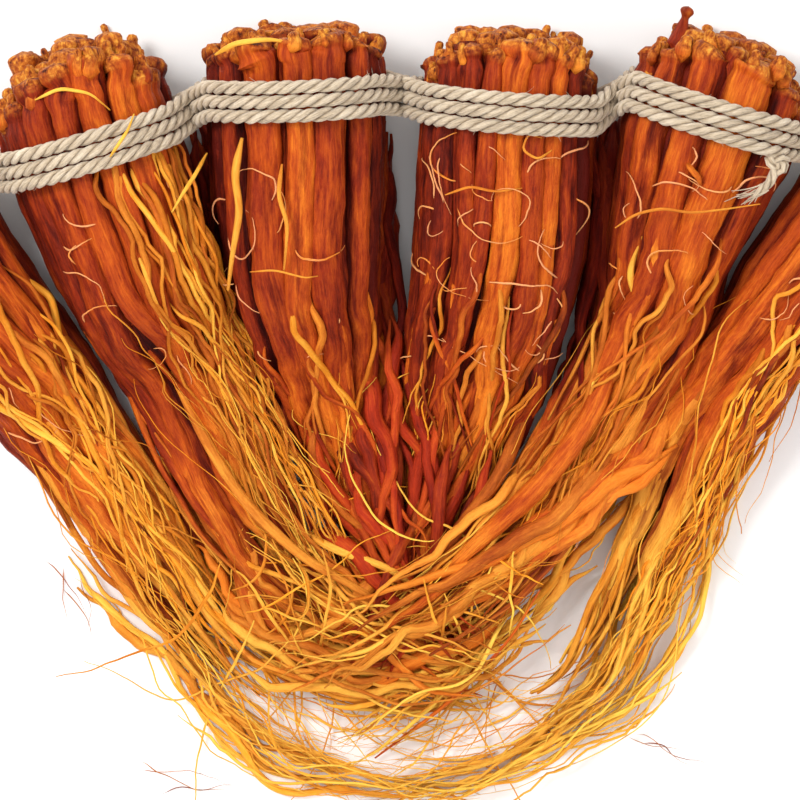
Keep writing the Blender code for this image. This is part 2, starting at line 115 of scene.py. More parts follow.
# Each bunch: crown and cord on the plan, the crown's half width, the sections below the waist as x, y, half
# width, half depth and lowest height, and how its golden rootlets lie: from which section and between which
# angles from its top, in degrees, negative to the left.
# The front roots are angle, radius and tone; the tones hold painted shade as well as each root's own colour,
# lower at the sides of a bunch where its roots turn down.
BUNCHES = (
    {
        "name": "bunch_far_left",
        "crown": (-128.3, 54.1),
        "cord": (-116.3, 39.5),
        "below": (
            (-94.0, 14.1, 14.6, 18.0, BELOW_FLOOR),
            (-79.2, -7.5, 13.6, 11.0, BELOW_FLOOR),
            (-56.6, -41.4, 12.5, 5.0, 0.0),
            (-39.0, -67.0, 10.5, 2.3, 0.0),
            (-18.5, -82.5, 10.0, 2.2, 0.0),
            (10.5, -86.0, 9.0, 2.2, 0.0),
        ),
        "front": (
            (-82, 3.2, 0.3), (-58, 3.8, 0.5), (-32, 4.2, 0.6), (-6, 3.6, 0.7), (20, 3.8, 0.8),
            (48, 3.6, 0.7), (76, 3.2, 0.5),
        ),
        "tail_gold": (0.2, 0.7),
        "gold_from": 2.6,
        "long_gold": (13, (-30.0, 80.0), (2.2, 3.8)),
        "rootlets": 10,
        "hairs": 10,
        "curls": 8,
    },
    {
        "name": "bunch_left",
        "crown": (-76.4, 81.1),
        "dome": 9.0,
        "cord": (-71.7, 60.2),
        "below": (
            (-59.7, 25.9, 18.2, 20.0, BELOW_FLOOR),
            (-49.4, 4.7, 15.2, 11.0, BELOW_FLOOR),
            (-34.0, -28.2, 15.5, 4.4, 9.2),
            (-12.9, -50.5, 12.5, 2.8, 9.0),
            (11.8, -58.8, 11.0, 2.2, 9.2),
            (28.2, -70.5, 11.0, 2.0, 9.6),
        ),
        "front": (
            (-84, 2.8, -0.1), (-62, 3.3, 0.1), (-36, 3.8, 0.3), (-10, 3.5, 0.4), (14, 3.7, 0.6),
            (38, 3.3, 0.7), (60, 3.1, 0.6), (82, 2.8, 0.3),
        ),
        "tail_gold": (0.0, 0.5),
        "gold_from": 2.05,
        "gold_between": (0.0, 85.0),
        "long_gold": (24, (5.0, 84.0), (1.2, 2.3)),
        "curls": 10,
    },
    {
        "name": "bunch_mid_left",
        "crown": (-25.6, 87.2),
        "crown_half_width": 22.5,
        "lower_crown": 0.2,
        "dome": 3.0,
        "cord": (-24.4, 72.0),
        "below": (
            (-23.4, 30.6, 18.8, 20.0, BELOW_FLOOR),
            (-18.8, 5.9, 13.6, 10.0, BELOW_FLOOR),
            (-11.8, -18.8, 8.6, 4.2, 0.0),
            (-7.0, -44.7, 5.0, 2.5, 0.0),
            (-6.6, -58.8, 4.0, 2.0, 0.0),
        ),
        "front": (
            (-86, 2.6, -0.2), (-58, 3.0, 0.2), (-26, 4.8, 0.45), (3, 3.3, 0.7), (29, 4.5, 0.35),
            (62, 3.4, 0.4), (87, 2.8, -0.2),
        ),
        "tail_gold": (-0.4, 0.3),
        "gold_from": 3.3,
        "long_gold": (3, (-80.0, 60.0), (3.0, 3.6)),
        "rootlets": 7,
        "curls": 12,
    },
    {
        "name": "bunch_mid_right",
        "crown": (27.5, 87.0),
        "crown_half_width": 22.5,
        "lower_crown": 0.25,
        "dome": 7.0,
        "cord": (25.4, 69.3),
        "below": (
            (23.5, 32.9, 20.2, 20.0, BELOW_FLOOR),
            (18.3, 4.7, 18.0, 10.5, BELOW_FLOOR),
            (12.2, -18.8, 12.2, 4.2, 0.0),
            (5.9, -44.7, 5.6, 2.5, 0.0),
            (7.0, -58.8, 5.0, 2.0, 0.0),
        ),
        "front": (
            (-84, 3.0, 0.0), (-58, 3.4, 0.1), (-34, 3.4, 0.2), (-16, 2.8, 0.3), (2, 3.6, 0.95),
            # The last root's very low tone is painted shade on this bunch's dark right side.
            (20, 3.2, 0.4), (36, 2.8, 0.75), (54, 3.0, 0.1), (78, 3.2, -0.7),
        ),
        "tail_gold": (-0.4, 0.3),
        "gold_from": 3.0,
        "long_gold": (5, (-70.0, 70.0), (2.6, 3.6)),
        "curls": 40,
    },
    {
        "name": "bunch_right",
        "crown": (78.7, 84.6),
        "lower_crown": 0.2,
        "cord": (73.3, 67.5),
        "below": (
            (63.9, 36.4, 15.2, 19.0, BELOW_FLOOR),
            (56.4, 11.8, 13.2, 12.0, BELOW_FLOOR),
            (34.6, -24.7, 11.0, 5.0, 7.0),
            (13.5, -47.0, 11.0, 3.0, 14.6),
            (-7.0, -58.8, 10.0, 2.2, 14.8),
            (-25.9, -67.0, 11.0, 2.0, 15.0),
        ),
        "front": (
            (-84, 2.8, 0.3), (-56, 3.7, 0.6), (-21, 4.4, 0.5), (17, 5.4, 0.85), (54, 3.4, 0.4),
            (82, 3.0, 0.2),
        ),
        "tail_gold": (0.0, 0.4),
        "gold_from": 3.3,
        "long_gold": (5, (-70.0, 60.0), (2.6, 3.6)),
        "hairs": 7,
        "curls": 14,
    },
    {
        "name": "bunch_far_right",
        "crown": (127.4, 59.5),
        "cord": (114.7, 45.8),
        "below": (
            (91.5, 22.0, 14.2, 18.0, BELOW_FLOOR),
            (76.0, -1.8, 12.2, 11.0, BELOW_FLOOR),
            (60.5, -36.0, 12.5, 5.0, 0.0),
            (44.0, -68.5, 10.5, 2.3, 3.9),
            (22.0, -81.5, 10.0, 2.0, 4.6),
            (-6.0, -84.0, 9.0, 1.9, 4.8),
        ),
        "front": (
            (-84, 3.2, 0.4), (-58, 3.8, 0.6), (-30, 4.0, 0.7), (-4, 3.6, 0.6), (22, 3.8, 0.6),
            (50, 3.6, 0.5), (78, 3.2, 0.3),
        ),
        "tail_gold": (0.4, 0.9),
        "gold_from": 2.6,
        "gold_between": (-10.0, 85.0),
        "long_gold": (16, (-20.0, 85.0), (2.2, 3.6)),
        "rootlets": 10,
        "hairs": 10,
        "curls": 10,
    },
)

FRONT_SIDES = 16
OTHER_SIDES = 12
BACK_ROOTS = 5
LEGS = 26
CROWN_STUBS = 38
HAIR_ANGLES = (-80.0, 80.0)
HAIR_GOLD = (0.7, 1.15)
THICK_FROM = 1.2

# How many times round a root its wrinkles run, and how deep they are for its radius.
WRINKLES = ((2, 0.09), (3, 0.08), (4, 0.06), (6, 0.045))

# The tangled hairs over the tails: where on the picture they start, and where they come down to the floor.
TANGLES = 64
TANGLE_MIDDLE = -20.0
TANGLE_TOP = -115.0
TANGLE_REACH = 165.0
TANGLE_BOTTOM = -300.0
TANGLE_RISE = 80.0

BUNCH_SEED, LOOSE_SEED, CORD_SEED = 40, 90, 77
INNER_HEADS = ((12, 0.68), (7, 0.38), (3, 0.12))

# The hidden core: its first and last section, how far in it lies, and where it starts to close.
CORE_FROM, CORE_TO = 0.62, 4.9
CORE_INSET = 5.4
CORE_CLOSES_FROM = 3.7

# A section's length along a bunch, roughly.
SECTION_LENGTH = 32.0


def ease(share):
    """Rises smoothly from 0 to 1."""
    share = np.clip(share, 0.0, 1.0)
    return share * share * (3.0 - 2.0 * share)


def unit(vectors):
    length = np.linalg.norm(vectors, axis=-1, keepdims=True)
    return vectors / np.maximum(length, 1e-9)


def wander(rng, along, size, wavelength):
    """A wavering value along a strand, of about this size and wavelength."""
    phases = rng.uniform(0.0, 2.0 * math.pi, 3)
    turn = 2.0 * math.pi * along / wavelength
    waves = 0.7 * np.sin(turn + phases[0]) + 0.25 * np.sin(2.13 * turn + phases[1])
    return size * (waves + 0.05 * np.sin(4.7 * turn + phases[2]))


def along_path(path):
    """The distance from the start at each point of a path."""
    steps = np.linalg.norm(np.diff(path, axis=0), axis=1)
    return np.concatenate(([0.0], np.cumsum(steps)))


class Flow:
    """A bunch's own space: t runs down it from the crown, u across it and v up."""

    SAMPLES = 600

    def __init__(self, spec):
        self.spec = spec
        crown = np.array((*spec["crown"], 0.0))
        self.cord = np.array((*spec["cord"], 0.0))
        below = spec["below"]
        self.axis = unit(np.array((*below[0][:2], 0.0)) - crown)
        self.across = np.array((-self.axis[1], self.axis[0], 0.0))
        reach = self.axis * WAIST_HALF_LENGTH
        middles = [crown, self.cord - reach, self.cord + reach]
        middles += [np.array((x, y, 0.0)) for x, y, *_ in below]
        waist_bottom = WAIST_MIDDLE - WAIST_HALF_DEPTH
        self.last = len(middles) - 1
        self.dome = spec["dome"] / np.linalg.norm(middles[WAIST_TOP] - middles[0])
        self.t = np.linspace(-1.2, self.last + 0.8, self.SAMPLES)
        knots = np.arange(self.last + 1)
        self.middle = np.array([self.curve(middles, t) for t in self.t])
        ahead = np.gradient(self.middle, self.t, axis=0)
        side = unit(np.stack((-ahead[:, 1], ahead[:, 0], np.zeros(len(ahead))), axis=1))
        side[self.t <= WAIST_END] = self.across
        self.side = side
        widths = [spec["crown_half_width"], WAIST_HALF_WIDTH, WAIST_HALF_WIDTH]
        depths = [WAIST_HALF_DEPTH + CROWN_EXTRA_DEPTH, WAIST_HALF_DEPTH, WAIST_HALF_DEPTH]
        bottoms = [BELOW_FLOOR, waist_bottom, waist_bottom]
        self.width = self.rounded(knots, widths + [section[2] for section in below])
        self.depth = self.rounded(knots, depths + [section[3] for section in below])
        self.bottom = self.rounded(knots, bottoms + [section[4] for section in below])

    def curve(self, points, t):
        """Straight through the crown and the waist, and a smooth curve below them."""
        if t <= WAIST_END:
            index = 0 if t < WAIST_TOP else 1
            return points[index] + (points[index + 1] - points[index]) * (t - index)
        index = min(int(t), self.last - 1)
        share = t - index
        start, end, before = points[index], points[index + 1], points[index - 1]
        after = points[index + 2] if index + 2 <= self.last else end * 2.0 - start
        if share > 1.0:
            return end + (end - start) * 0.9 * (share - 1.0)
        leave, arrive = (end - before) * 0.5, (after - start) * 0.5
        square, cube = share**2, share**3
        return (
            start * (2.0 * cube - 3.0 * square + 1.0)
            + leave * (cube - 2.0 * square + share)
            + end * (3.0 * square - 2.0 * cube)
            + arrive * (cube - square)
        )

    def rounded(self, knots, values):
        """The values along t, with the corners rounded everywhere but at the waist."""
        plain = np.interp(self.t, knots, values)
        reach = 40
        padded = np.pad(plain, reach, mode="edge")
        window = np.hanning(2 * reach + 1)
        soft = np.convolve(padded, window / window.sum(), mode="valid")
        waist = ease((self.t - WAIST_END) / 0.5) + ease((WAIST_TOP - self.t) / 0.5)
        return plain + (soft - plain) * waist

    def crown_top(self, u, most):
        """Where the domed crown starts at u across, and at most so far down at its sides."""
        return self.spec["lower_crown"] + min(self.dome * abs(u) ** 3, most)

    def read(self, table, t):
        if table.ndim == 1:
            return np.interp(t, self.t, table)
        return np.stack([np.interp(t, self.t, column) for column in table.T], axis=1)

    def place(self, t, u, v, radius):
        """Points at u across and v up, from -1 to 1 within the bunch, for strands of this radius."""
        half_width = np.maximum(self.read(self.width, t) - radius, 0.2)
        half_depth = np.maximum(self.read(self.depth, t) - radius, 0.2)
        height = self.read(self.bottom, t) + self.read(self.depth, t) + half_depth * v
        points = self.read(self.middle, t) + self.read(self.side, t) * (half_width * u)[:, None]
        points[:, 2] = np.maximum(height, radius + LOWEST)
        return points

    def shift(self, path, t, amount):
        """Moves a path across the bunch."""
        path += self.read(self.side, t) * amount[:, None]

    def outward(self, points, t):
        """The directions from the bunch's middle line to points at t."""
        middle = self.read(self.middle, t)
        middle[:, 2] = self.read(self.bottom, t) + self.read(self.depth, t)
        away = points - middle
        ahead = np.cross(self.read(self.side, t), UP)
        away -= ahead * np.sum(away * ahead, axis=1)[:, None]
        return unit(away)


class Strands:
    """Gathers tapered tubes in one mesh, with what their material reads at each point."""

    def __init__(self):
        self.points = []
        self.quads = []
        self.triangles = []
        self.values = {"skin": [], "tone": [], "gold": [], "crown": [], "open": []}
        self.count = 0

    def add(
        self, rng, path, radii, sides, tone=0.5, gold=0.0, crown=0.0, relief=None, facing=None,
        shade=1.0, soft=0.0, tip=0.3,
    ):
        """A tube with pointed ends.

        relief multiplies the radius at each ring and side. facing is the way out of the bunch at each
        ring: the open value paints shade, darkest where the skin turns away from it and in its furrows, less
        so where it is soft. shade is painted shade over all of it; tip is how far the first end is drawn out."""
        number = len(path)
        ahead = unit(np.gradient(path, axis=0))
        right, top = frames(ahead)
        phi = np.linspace(0.0, 2.0 * math.pi, sides, endpoint=False)
        factor = relief if relief is not None else np.ones((number, sides))
        reach = radii[:, None] * factor
        across, up = np.cos(phi)[None, :, None], np.sin(phi)[None, :, None]
        outward = right[:, None, :] * across + top[:, None, :] * up
        rings = path[:, None, :] + outward * reach[:, :, None]
        first = path[0] - ahead[0] * radii[0] * tip
        last = path[-1] + ahead[-1] * radii[-1]
        points = np.concatenate((rings.reshape(-1, 3), first[None, :], last[None, :]))
        points[:, 2] = np.maximum(points[:, 2], LOWEST)
        ring = np.arange(number - 1)[:, None] * sides
        corner = np.arange(sides)[None, :]
        after = (corner + 1) % sides
        quads = np.stack((ring + corner, ring + sides + corner, ring + sides + after, ring + after), axis=-1)
        start, end = number * sides, number * sides + 1
        corner, after = corner[0], after[0]
        low = np.stack((np.full(sides, start), corner, after), axis=-1)
        base = (number - 1) * sides
        high = np.stack((np.full(sides, end), base + after, base + corner), axis=-1)
        self.points.append(points)
        self.quads.append(quads.reshape(-1, 4) + self.count)
        self.triangles.append(np.concatenate((low, high)) + self.count)
        self.count += len(points)
        mean = float(np.mean(radii))
        along = along_path(path) + rng.uniform(0.0, 900.0)
        skin = np.zeros((number, sides, 3))
        skin[:, :, 0] = np.cos(phi)[None, :] * mean
        skin[:, :, 1] = np.sin(phi)[None, :] * mean
        skin[:, :, 2] = along[:, None]
        ends = np.array(((0.0, 0.0, along[0]), (0.0, 0.0, along[-1])))
        self.values["skin"].append(np.concatenate((skin.reshape(-1, 3), ends)))
        # The open value is painted shade: low values darken the skin's colour, and crowns are kept light.
        lit = np.full((number, sides), shade)
        if facing is not None:
            turned = np.einsum("nsk,nk->ns", outward, facing)
            lit = ease((turned + 0.15) / 0.8) + (factor - factor.mean(axis=1)[:, None]) * 3.5
            lit = lit + (1.0 - lit) * np.broadcast_to(soft, (number,))[:, None]
            lit = np.maximum(lit * shade, np.broadcast_to(crown, (number,))[:, None] * 1.1)
        self.values["open"].append(np.concatenate((lit.ravel(), lit[0, :1], lit[-1, :1])))
        for name, value in (("tone", tone), ("gold", gold), ("crown", crown)):
            values = np.broadcast_to(value, (number,)).astype(float)
            self.values[name].append(np.concatenate((np.repeat(values, sides), values[[0, -1]])))

    def make(self, name, material, body="root"):
        """The mesh object in the frame, riding on a body."""
        points = (np.concatenate(self.points) - FAN_MIDDLE) * MM
        quads = np.concatenate(self.quads)
        triangles = np.concatenate(self.triangles)
        mesh = bpy.data.meshes.new(name)
        mesh.vertices.add(len(points))
        mesh.vertices.foreach_set("co", points.ravel())
        corners = np.concatenate((quads.ravel(), triangles.ravel()))
        mesh.loops.add(len(corners))
        mesh.loops.foreach_set("vertex_index", corners)
        starts = np.arange(len(quads)) * 4
        tail = len(quads) * 4 + np.arange(len(triangles)) * 3
        mesh.polygons.add(len(quads) + len(triangles))
        mesh.polygons.foreach_set("loop_start", np.concatenate((starts, tail)))
        mesh.update(calc_edges=True)
        for key, values in self.values.items():
            values = np.concatenate(values)
            kind = "FLOAT_VECTOR" if values.ndim == 2 else "FLOAT"
            made = mesh.attributes.new(key, kind, "POINT")
            made.data.foreach_set("vector" if values.ndim == 2 else "value", values.ravel())
        mesh.shade_smooth()
        mesh.materials.append(material)
        piece = bpy.data.objects.new(name, mesh)
        bpy.context.scene.collection.objects.link(piece)
        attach(piece, body)
        return piece


def frames(ahead):
    """Two directions square to a path at each point, carried along it without twist."""
    if np.abs(ahead[:, 2]).max() < 0.8:
        right = unit(np.cross(ahead, UP))
        return right, np.cross(right, ahead)
    start = np.cross(ahead[0], UP)
    if np.linalg.norm(start) < 0.2:
        start = np.cross(ahead[0], (0.0, 1.0, 0.0))
    return carried(ahead, start)


def carried(ahead, start):
    """A direction square to a path that starts as given, and the one square to both."""
    right = np.zeros_like(ahead)
    right[0] = unit(start)
    for index in range(1, len(ahead)):
        before = right[index - 1]
        right[index] = unit(before - ahead[index] * np.dot(before, ahead[index]))
    return right, np.cross(right, ahead)


def ridges(rng, along, sides, strength):
    """Lengthwise wrinkles and lumps of a dried root, as a factor on its radius."""
    phi = np.linspace(0.0, 2.0 * math.pi, sides, endpoint=False)[None, :]
    factor = np.ones((len(along), sides))
    for waves, size in WRINKLES:
        drift = rng.uniform(-0.02, 0.02) * along + wander(rng, along, 0.8, rng.uniform(24.0, 60.0))
        depth = size * rng.uniform(0.5, 1.3) * (1.0 + wander(rng, along, 0.5, 19.0))
        turn = waves * phi + (drift + rng.uniform(0, 6.3))[:, None]
        shape = np.cos(turn) if waves == 2 else 2.2 * np.abs(np.cos(turn / 2.0)) - 1.4
        factor += strength * depth[:, None] * shape
    lumps = wander(rng, along, 0.04, rng.uniform(12.0, 22.0))
    lumps = lumps + wander(rng, along, 0.025, rng.uniform(5.0, 7.0))
    return factor + strength * lumps[:, None]


class Root:
    """One main root of a bunch: where it runs in the bunch's cross-section, and how thick it is."""

    def __init__(self, rng, flow, angle, radius, tone, reach=1.0, sides=OTHER_SIDES, shade=1.0):
        self.angle = math.radians(90.0 - angle)
        self.reach = reach
        self.sides = sides
        self.shade = shade
        self.radius = radius
        self.tip = rng.uniform(-0.15, 0.15) + flow.crown_top(math.cos(self.angle), 0.72)
        self.end = rng.uniform(5.3, 6.4)
        self.drift = rng.uniform(-0.1, 0.1)
        self.wave = rng.uniform(0.03, 0.08)
        self.phase = rng.uniform(0.0, 2.0 * math.pi)
        self.inset = rng.uniform(0.0, 0.1)
        self.tail_inset = rng.uniform(0.0, 0.55)
        self.tone = tone
        self.pale = 0.14 * tone

    def spot(self, t):
        """Its place across and up in the cross-section."""
        loose = ease((t - WAIST_END) / 1.5)
        sway = self.drift * (t - WAIST_END) + self.wave * np.sin(2.3 * t + self.phase)
        sway = sway + 0.3 * self.wave * np.sin(5.3 * t + 2.0 * self.phase)
        turn = self.angle + loose * sway
        inset = loose * (self.inset + self.tail_inset * ease((t - LOWER) / 1.5))
        return self.reach * (1.0 - inset) * np.cos(turn), self.reach * (1.0 - inset) * np.sin(turn)

    def thickness(self, t):
        return self.radius * np.interp(t, np.arange(len(ROOT_TAPER)), ROOT_TAPER)


def main_root(strands, rng, flow, root):
    """A root from its cut head in the crown to the tip of its tail."""
    cut = root.tip + np.array((0.0, 0.02, 0.06, 0.12))
    crown = np.concatenate((cut, np.linspace(root.tip + 0.2, 0.95, 12)))
    body = np.linspace(2.06, root.end, 54 if root.sides == FRONT_SIDES else 40)
    t = np.concatenate((crown, np.linspace(1.0, 2.0, 9), body))
    radii = root.thickness(t)
    head = t - root.tip
    swell = (0.62, 0.86, 0.97, *rng.uniform((0.95, 0.82, 1.0), (1.2, 1.02, 1.2)), 1.03)
    radii = radii * np.interp(head, (0.0, 0.02, 0.07, 0.16, 0.34, 0.55, 0.9), swell)
    radii = radii * (1.0 - 0.85 * ease((t - root.end + 0.9) / 0.9))
    path = flow.place(t, *root.spot(t), root.thickness(t))
    # The side of the root turned into the bunch gets painted shade, less of it on the tail where soft grows.
    facing = flow.outward(path, t)
    along = along_path(path)
    loose = ease((t - WAIST_END - 0.2) / 2.0)
    flow.shift(path, t, loose * wander(rng, along, 1.3, rng.uniform(45.0, 90.0)))
    flow.shift(path, t, loose * wander(rng, along, 0.35, rng.uniform(12.0, 20.0)))
    path[:, 2] += loose * wander(rng, along, 0.7, 50.0)
    in_crown = ease((0.9 - t) / 0.5)
    flow.shift(path, t, in_crown * wander(rng, along, 0.7, 12.0))
    relief = ridges(rng, along, root.sides, 1.0)
    rough = ridges(rng, along * 3.0, root.sides, 1.2) - 1.0
    relief += rough * in_crown[:, None]
    gold = root.pale + ease((t - 3.8) / 2.2) * rng.uniform(*flow.spec["tail_gold"])
    top = ease((0.45 - head) / 0.45)
    tail = ease((t - 3.4) / 1.8)
    tone = root.tone + 0.55 * tail
    strands.add(rng, path, radii, root.sides, tone, gold, top, relief, facing, root.shade, 0.6 * tail)


def inner_head(strands, rng, flow, number, count, reach):
    """The head of a root that lies inside the bunch, seen only on the crown."""
    angle = 2.0 * math.pi * (number + rng.uniform(-0.25, 0.25)) / count
    radius = rng.uniform(2.5, 3.9)
    top = rng.uniform(-0.3, 0.1) + flow.spec["lower_crown"]
    t = top + np.array((0.0, 0.03, 0.08, 0.16, 0.3, 0.5, 0.8, 1.1))
    radii = radius * np.array((0.66, 0.88, 0.98, 1.04, 0.94, 1.02, 1.0, 1.0))
    path = flow.place(t, reach * math.cos(angle), reach * math.sin(angle), radius)
    relief = ridges(rng, along_path(path) * 3.0, 14, 1.6)
    lit = ease((0.8 + top - t) / 0.7)
    # Painted shade on the inner head's sides; its top stays light.
    strands.add(rng, path, radii, 14, rng.uniform(0, 1), 0.2, lit, relief, -flow.axis + 0 * path)


def crown_stub(strands, rng, flow):
    """A short knobbed stub or scar of an old stem on the crown."""
    angle = rng.uniform(0.0, 2.0 * math.pi)
    reach = math.sqrt(rng.uniform(0.3, 1.08))
    u, v = reach * math.cos(angle), reach * math.sin(angle)
    top = rng.uniform(-0.35, 0.1) + flow.crown_top(u, 0.7)
    t = np.linspace(top, top + 0.45, 9)
    radius = rng.uniform(0.7, 1.8)
    path = flow.place(t, u, v, radius)
    along = along_path(path)
    flow.shift(path, t, wander(rng, along, 0.6, 12.0))
    radii = radius * np.interp(np.linspace(0, 1, 9), (0, 0.12, 0.35, 0.6, 1), (0.6, 0.9, 0.85, 1.2, 1.3))
    relief = ridges(rng, along * 3.0, 8, 1.5)
    strands.add(rng, path, radii, 8, rng.uniform(0.2, 1.3), 0.2, ease((0.6 - (t - top)) / 0.5), relief)


def spike_head(strands, rng, flow):
    """A thin head that stands well above the crown and ends in a knob."""
    t = np.array((-0.4, -0.38, -0.34, -0.29, -0.24, -0.19, -0.14, -0.08, 0.0, 0.12, 0.28, 0.5))
    radii = np.array((0.8, 1.3, 1.7, 1.8, 1.5, 1.1, 0.85, 0.9, 1.1, 1.4, 2.0, 2.8))
    path = flow.place(t, *SPIKE_PLACE, 3.0)
    relief = ridges(rng, along_path(path) * 3.0, 10, 1.3)
    strands.add(rng, path, radii, 10, 0.2, 0.0, ease((0.2 - t) / 0.5) * 0.5, relief)


def leg(strands, rng, flow, roots):
    """A side root that forks from a main root and runs on beside it."""
    parent = roots[rng.integers(len(roots))]
    start = rng.uniform(2.6, 4.6)
    end = min(start + rng.uniform(1.4, 2.8), TIPS + 0.5)
    t = np.linspace(start, end, 36)
    share = (t - start) / (end - start)
    u, v = parent.spot(t)
    leave = ease((t - start) / 1.6)
    u = u + leave * rng.uniform(-0.4, 0.4)
    v = v + leave * rng.uniform(-0.15, 0.35)
    size = np.maximum(np.hypot(u, v), 1.0)
    first = float(parent.thickness(start)) * rng.uniform(0.35, 0.7)
    radii = first * (1.0 - 0.82 * share**0.8)
    path = flow.place(t, u / size, v / size, radii)
    # The side of the leg turned into the bunch gets painted shade.
    facing = flow.outward(path, t)
    along = along_path(path)
    flow.shift(path, t, leave * wander(rng, along, 2.0, rng.uniform(45.0, 90.0)))
    path[:, 2] += leave * np.abs(wander(rng, along, 1.2, 40.0))
    gold = parent.pale + 0.1 + ease((t - 3.2) / 2.2) * rng.uniform(*flow.spec["tail_gold"])
    relief = ridges(rng, along, 9, 0.8)
    strands.add(rng, path, radii, 9, rng.uniform(0.3, 1.2), gold, 0.0, relief, facing, 1.0, 0.6)


def strand_waves(rng, along, sway):
    """The sideways wander of a long thin root: slow bends, and small kinks here and there."""
    curly = rng.uniform() ** 1.3
    slow = wander(rng, along, sway, rng.uniform(50.0, 100.0))
    middling = wander(rng, along, 0.4 + 1.3 * curly, rng.uniform(18.0, 34.0))
    kinks = wander(rng, along, 0.1 + 0.3 * curly, rng.uniform(6.5, 10.0))
    kinks = kinks * ease(0.6 + wander(rng, along, 0.7, 60.0))
    return slow + middling + kinks


def rootlet(strands, rng, flow, sizes, starts, ends, angles, sway, lift, sides, rings, pale=(0.5, 1.0)):
    """A thin root on the bunch's upper face, running with the flow of the bunch."""
    start = starts[0] + (starts[1] - starts[0]) * rng.uniform() ** 1.6
    end = max(rng.uniform(*ends), start + 1.2)
    t = np.linspace(start, end, rings)
    share = (t - start) / (end - start)
    angle = np.radians(rng.uniform(*angles))
    goal = np.radians(rng.uniform(*flow.spec["gold_between"]))
    angle = angle + (goal - angle) * ease(share) * 0.9
    rise = 0.8 + (rng.uniform(*lift) - 0.8) * ease(share / 0.15)
    rise = rise * (1.0 - ease((t - TAIL) / 1.2) * rng.uniform(0.0, 0.8))
    thick = sizes[0] + (sizes[1] - sizes[0]) * rng.uniform() ** 1.5
    radii = thick * (1.0 - 0.85 * share**1.1) * (0.25 + 0.75 * ease(share / 0.18))
    path = flow.place(t, rise * np.sin(angle), rise * np.cos(angle), radii)
    along = along_path(path)
    free = ease(share / 0.2)
    flow.shift(path, t, free * strand_waves(rng, along, sway))
    path[:, 2] += free * np.abs(wander(rng, along, 0.5 * sway, rng.uniform(30.0, 60.0)))
    path[:, 2] = np.maximum(path[:, 2], radii + LOWEST)
    gold = rng.uniform(*pale) * (0.7 + 0.3 * share)
    strands.add(rng, path, radii, sides, rng.uniform(0.0, 1.0), gold)
    if rng.uniform() < 0.55:
        fork(strands, rng, flow, path, radii, t, gold, sides)


def fork(strands, rng, flow, path, radii, t, gold, sides):
    """A thinner side branch that leaves a rootlet at a small angle."""
    first = rng.integers(len(path) // 5, len(path) // 2)
    count = rng.integers(len(path) // 3, len(path) // 2)
    part = slice(first, first + count)
    share = np.linspace(0.0, 1.0, count)
    away = rng.uniform(2.0, 7.0) * rng.choice((-1.0, 1.0)) * share**1.3
    branch = path[part].copy()
    flow.shift(branch, t[part], away + share * strand_waves(rng, along_path(branch), 1.0))
    branch[:, 2] += 1.0 * share
    strands.add(rng, branch, 0.6 * radii[part] * (1.0 - 0.5 * share), sides, rng.uniform(0, 1), gold[part])


def curl(strands, rng, flow):
    """A short curly rootlet that lies across the roots."""
    steps = 22
    radius = rng.uniform(0.14, 0.32)
    t = [rng.uniform(1.95, 3.9)]
    angle = [math.radians(rng.uniform(-68.0, 68.0))]
    heading = rng.uniform(0.0, 2.0 * math.pi)
    bend = rng.uniform(-0.3, 0.3)
    length = rng.choice((rng.uniform(5.0, 11.0), rng.uniform(9.0, 22.0)))
    for _ in range(steps):
        heading += 0.5 * bend + rng.normal(0.0, 0.14)
        t.append(t[-1] + math.cos(heading) * length / steps / SECTION_LENGTH)
        angle.append(angle[-1] + math.sin(heading) * length / steps / WAIST_HALF_DEPTH)
    t, angle = np.array(t), np.array(angle)
    rise = 0.97 + 0.1 * np.sin(np.linspace(0.0, math.pi * rng.uniform(0.5, 1.4), steps + 1))
    path = flow.place(t, rise * np.sin(angle), rise * np.cos(angle), radius)
    radii = radius * np.interp(np.linspace(0.0, 1.0, len(path)), (0.0, 0.2, 1.0), (0.5, 1.0, 0.35))
    strands.add(rng, path, radii, 5, rng.uniform(2.0, 3.0), rng.uniform(0.1, 0.25))


def core(strands, rng, flow):
    """The bunch's hidden inner roots, dark and with painted shade on their top, so that nothing shows between
    the outer ones and the gaps there look deep in shade.
    """
    t = np.linspace(CORE_FROM, CORE_TO, 40)
    wide = np.maximum(flow.read(flow.width, t) - CORE_INSET, 0.5)
    deep = np.maximum(flow.read(flow.depth, t) - CORE_INSET, 0.5)
    closing = 1.0 - 0.9 * ease((t - CORE_CLOSES_FROM) / 1.2)
    path = flow.place(t, 0.0, 0.0, 1.0)
    phi = np.linspace(0.0, 2.0 * math.pi, 24, endpoint=False)[None, :]
    mean = (wide + deep) / 2.0 * closing
    reach = np.hypot(wide[:, None] * np.cos(phi), deep[:, None] * np.sin(phi))
    relief = reach * closing[:, None] / mean[:, None] * (1.0 + 0.06 * np.cos(9 * phi + t[:, None]))
    strands.add(rng, path, mean, 24, 0.0, 0.0, 0.5 * ease((0.9 - t) / 0.2), relief, -UP + 0 * path, tip=0.0)


def seen(points, height):
    """Where on the plan, at this height, the camera sees points of the picture given in millimetres."""
    lean = math.radians(CAMERA_LEAN)
    eye = np.array((0.0, math.sin(lean), math.cos(lean))) * CAMERA_DISTANCE + UP * VIEW_HEIGHT
    x, y = points.T
    shown = np.stack((x, y * math.cos(lean), VIEW_HEIGHT - y * math.sin(lean)), axis=1)
    share = (height - eye[2]) / (shown[:, 2] - eye[2])
    places = eye + (shown - eye) * share[:, None]
    past = np.maximum(LOWER_EDGE - places[:, 1], 0.0)
    places[:, 1] += past - EDGE_GIVE * (1.0 - np.exp(-past / EDGE_GIVE))
    return places


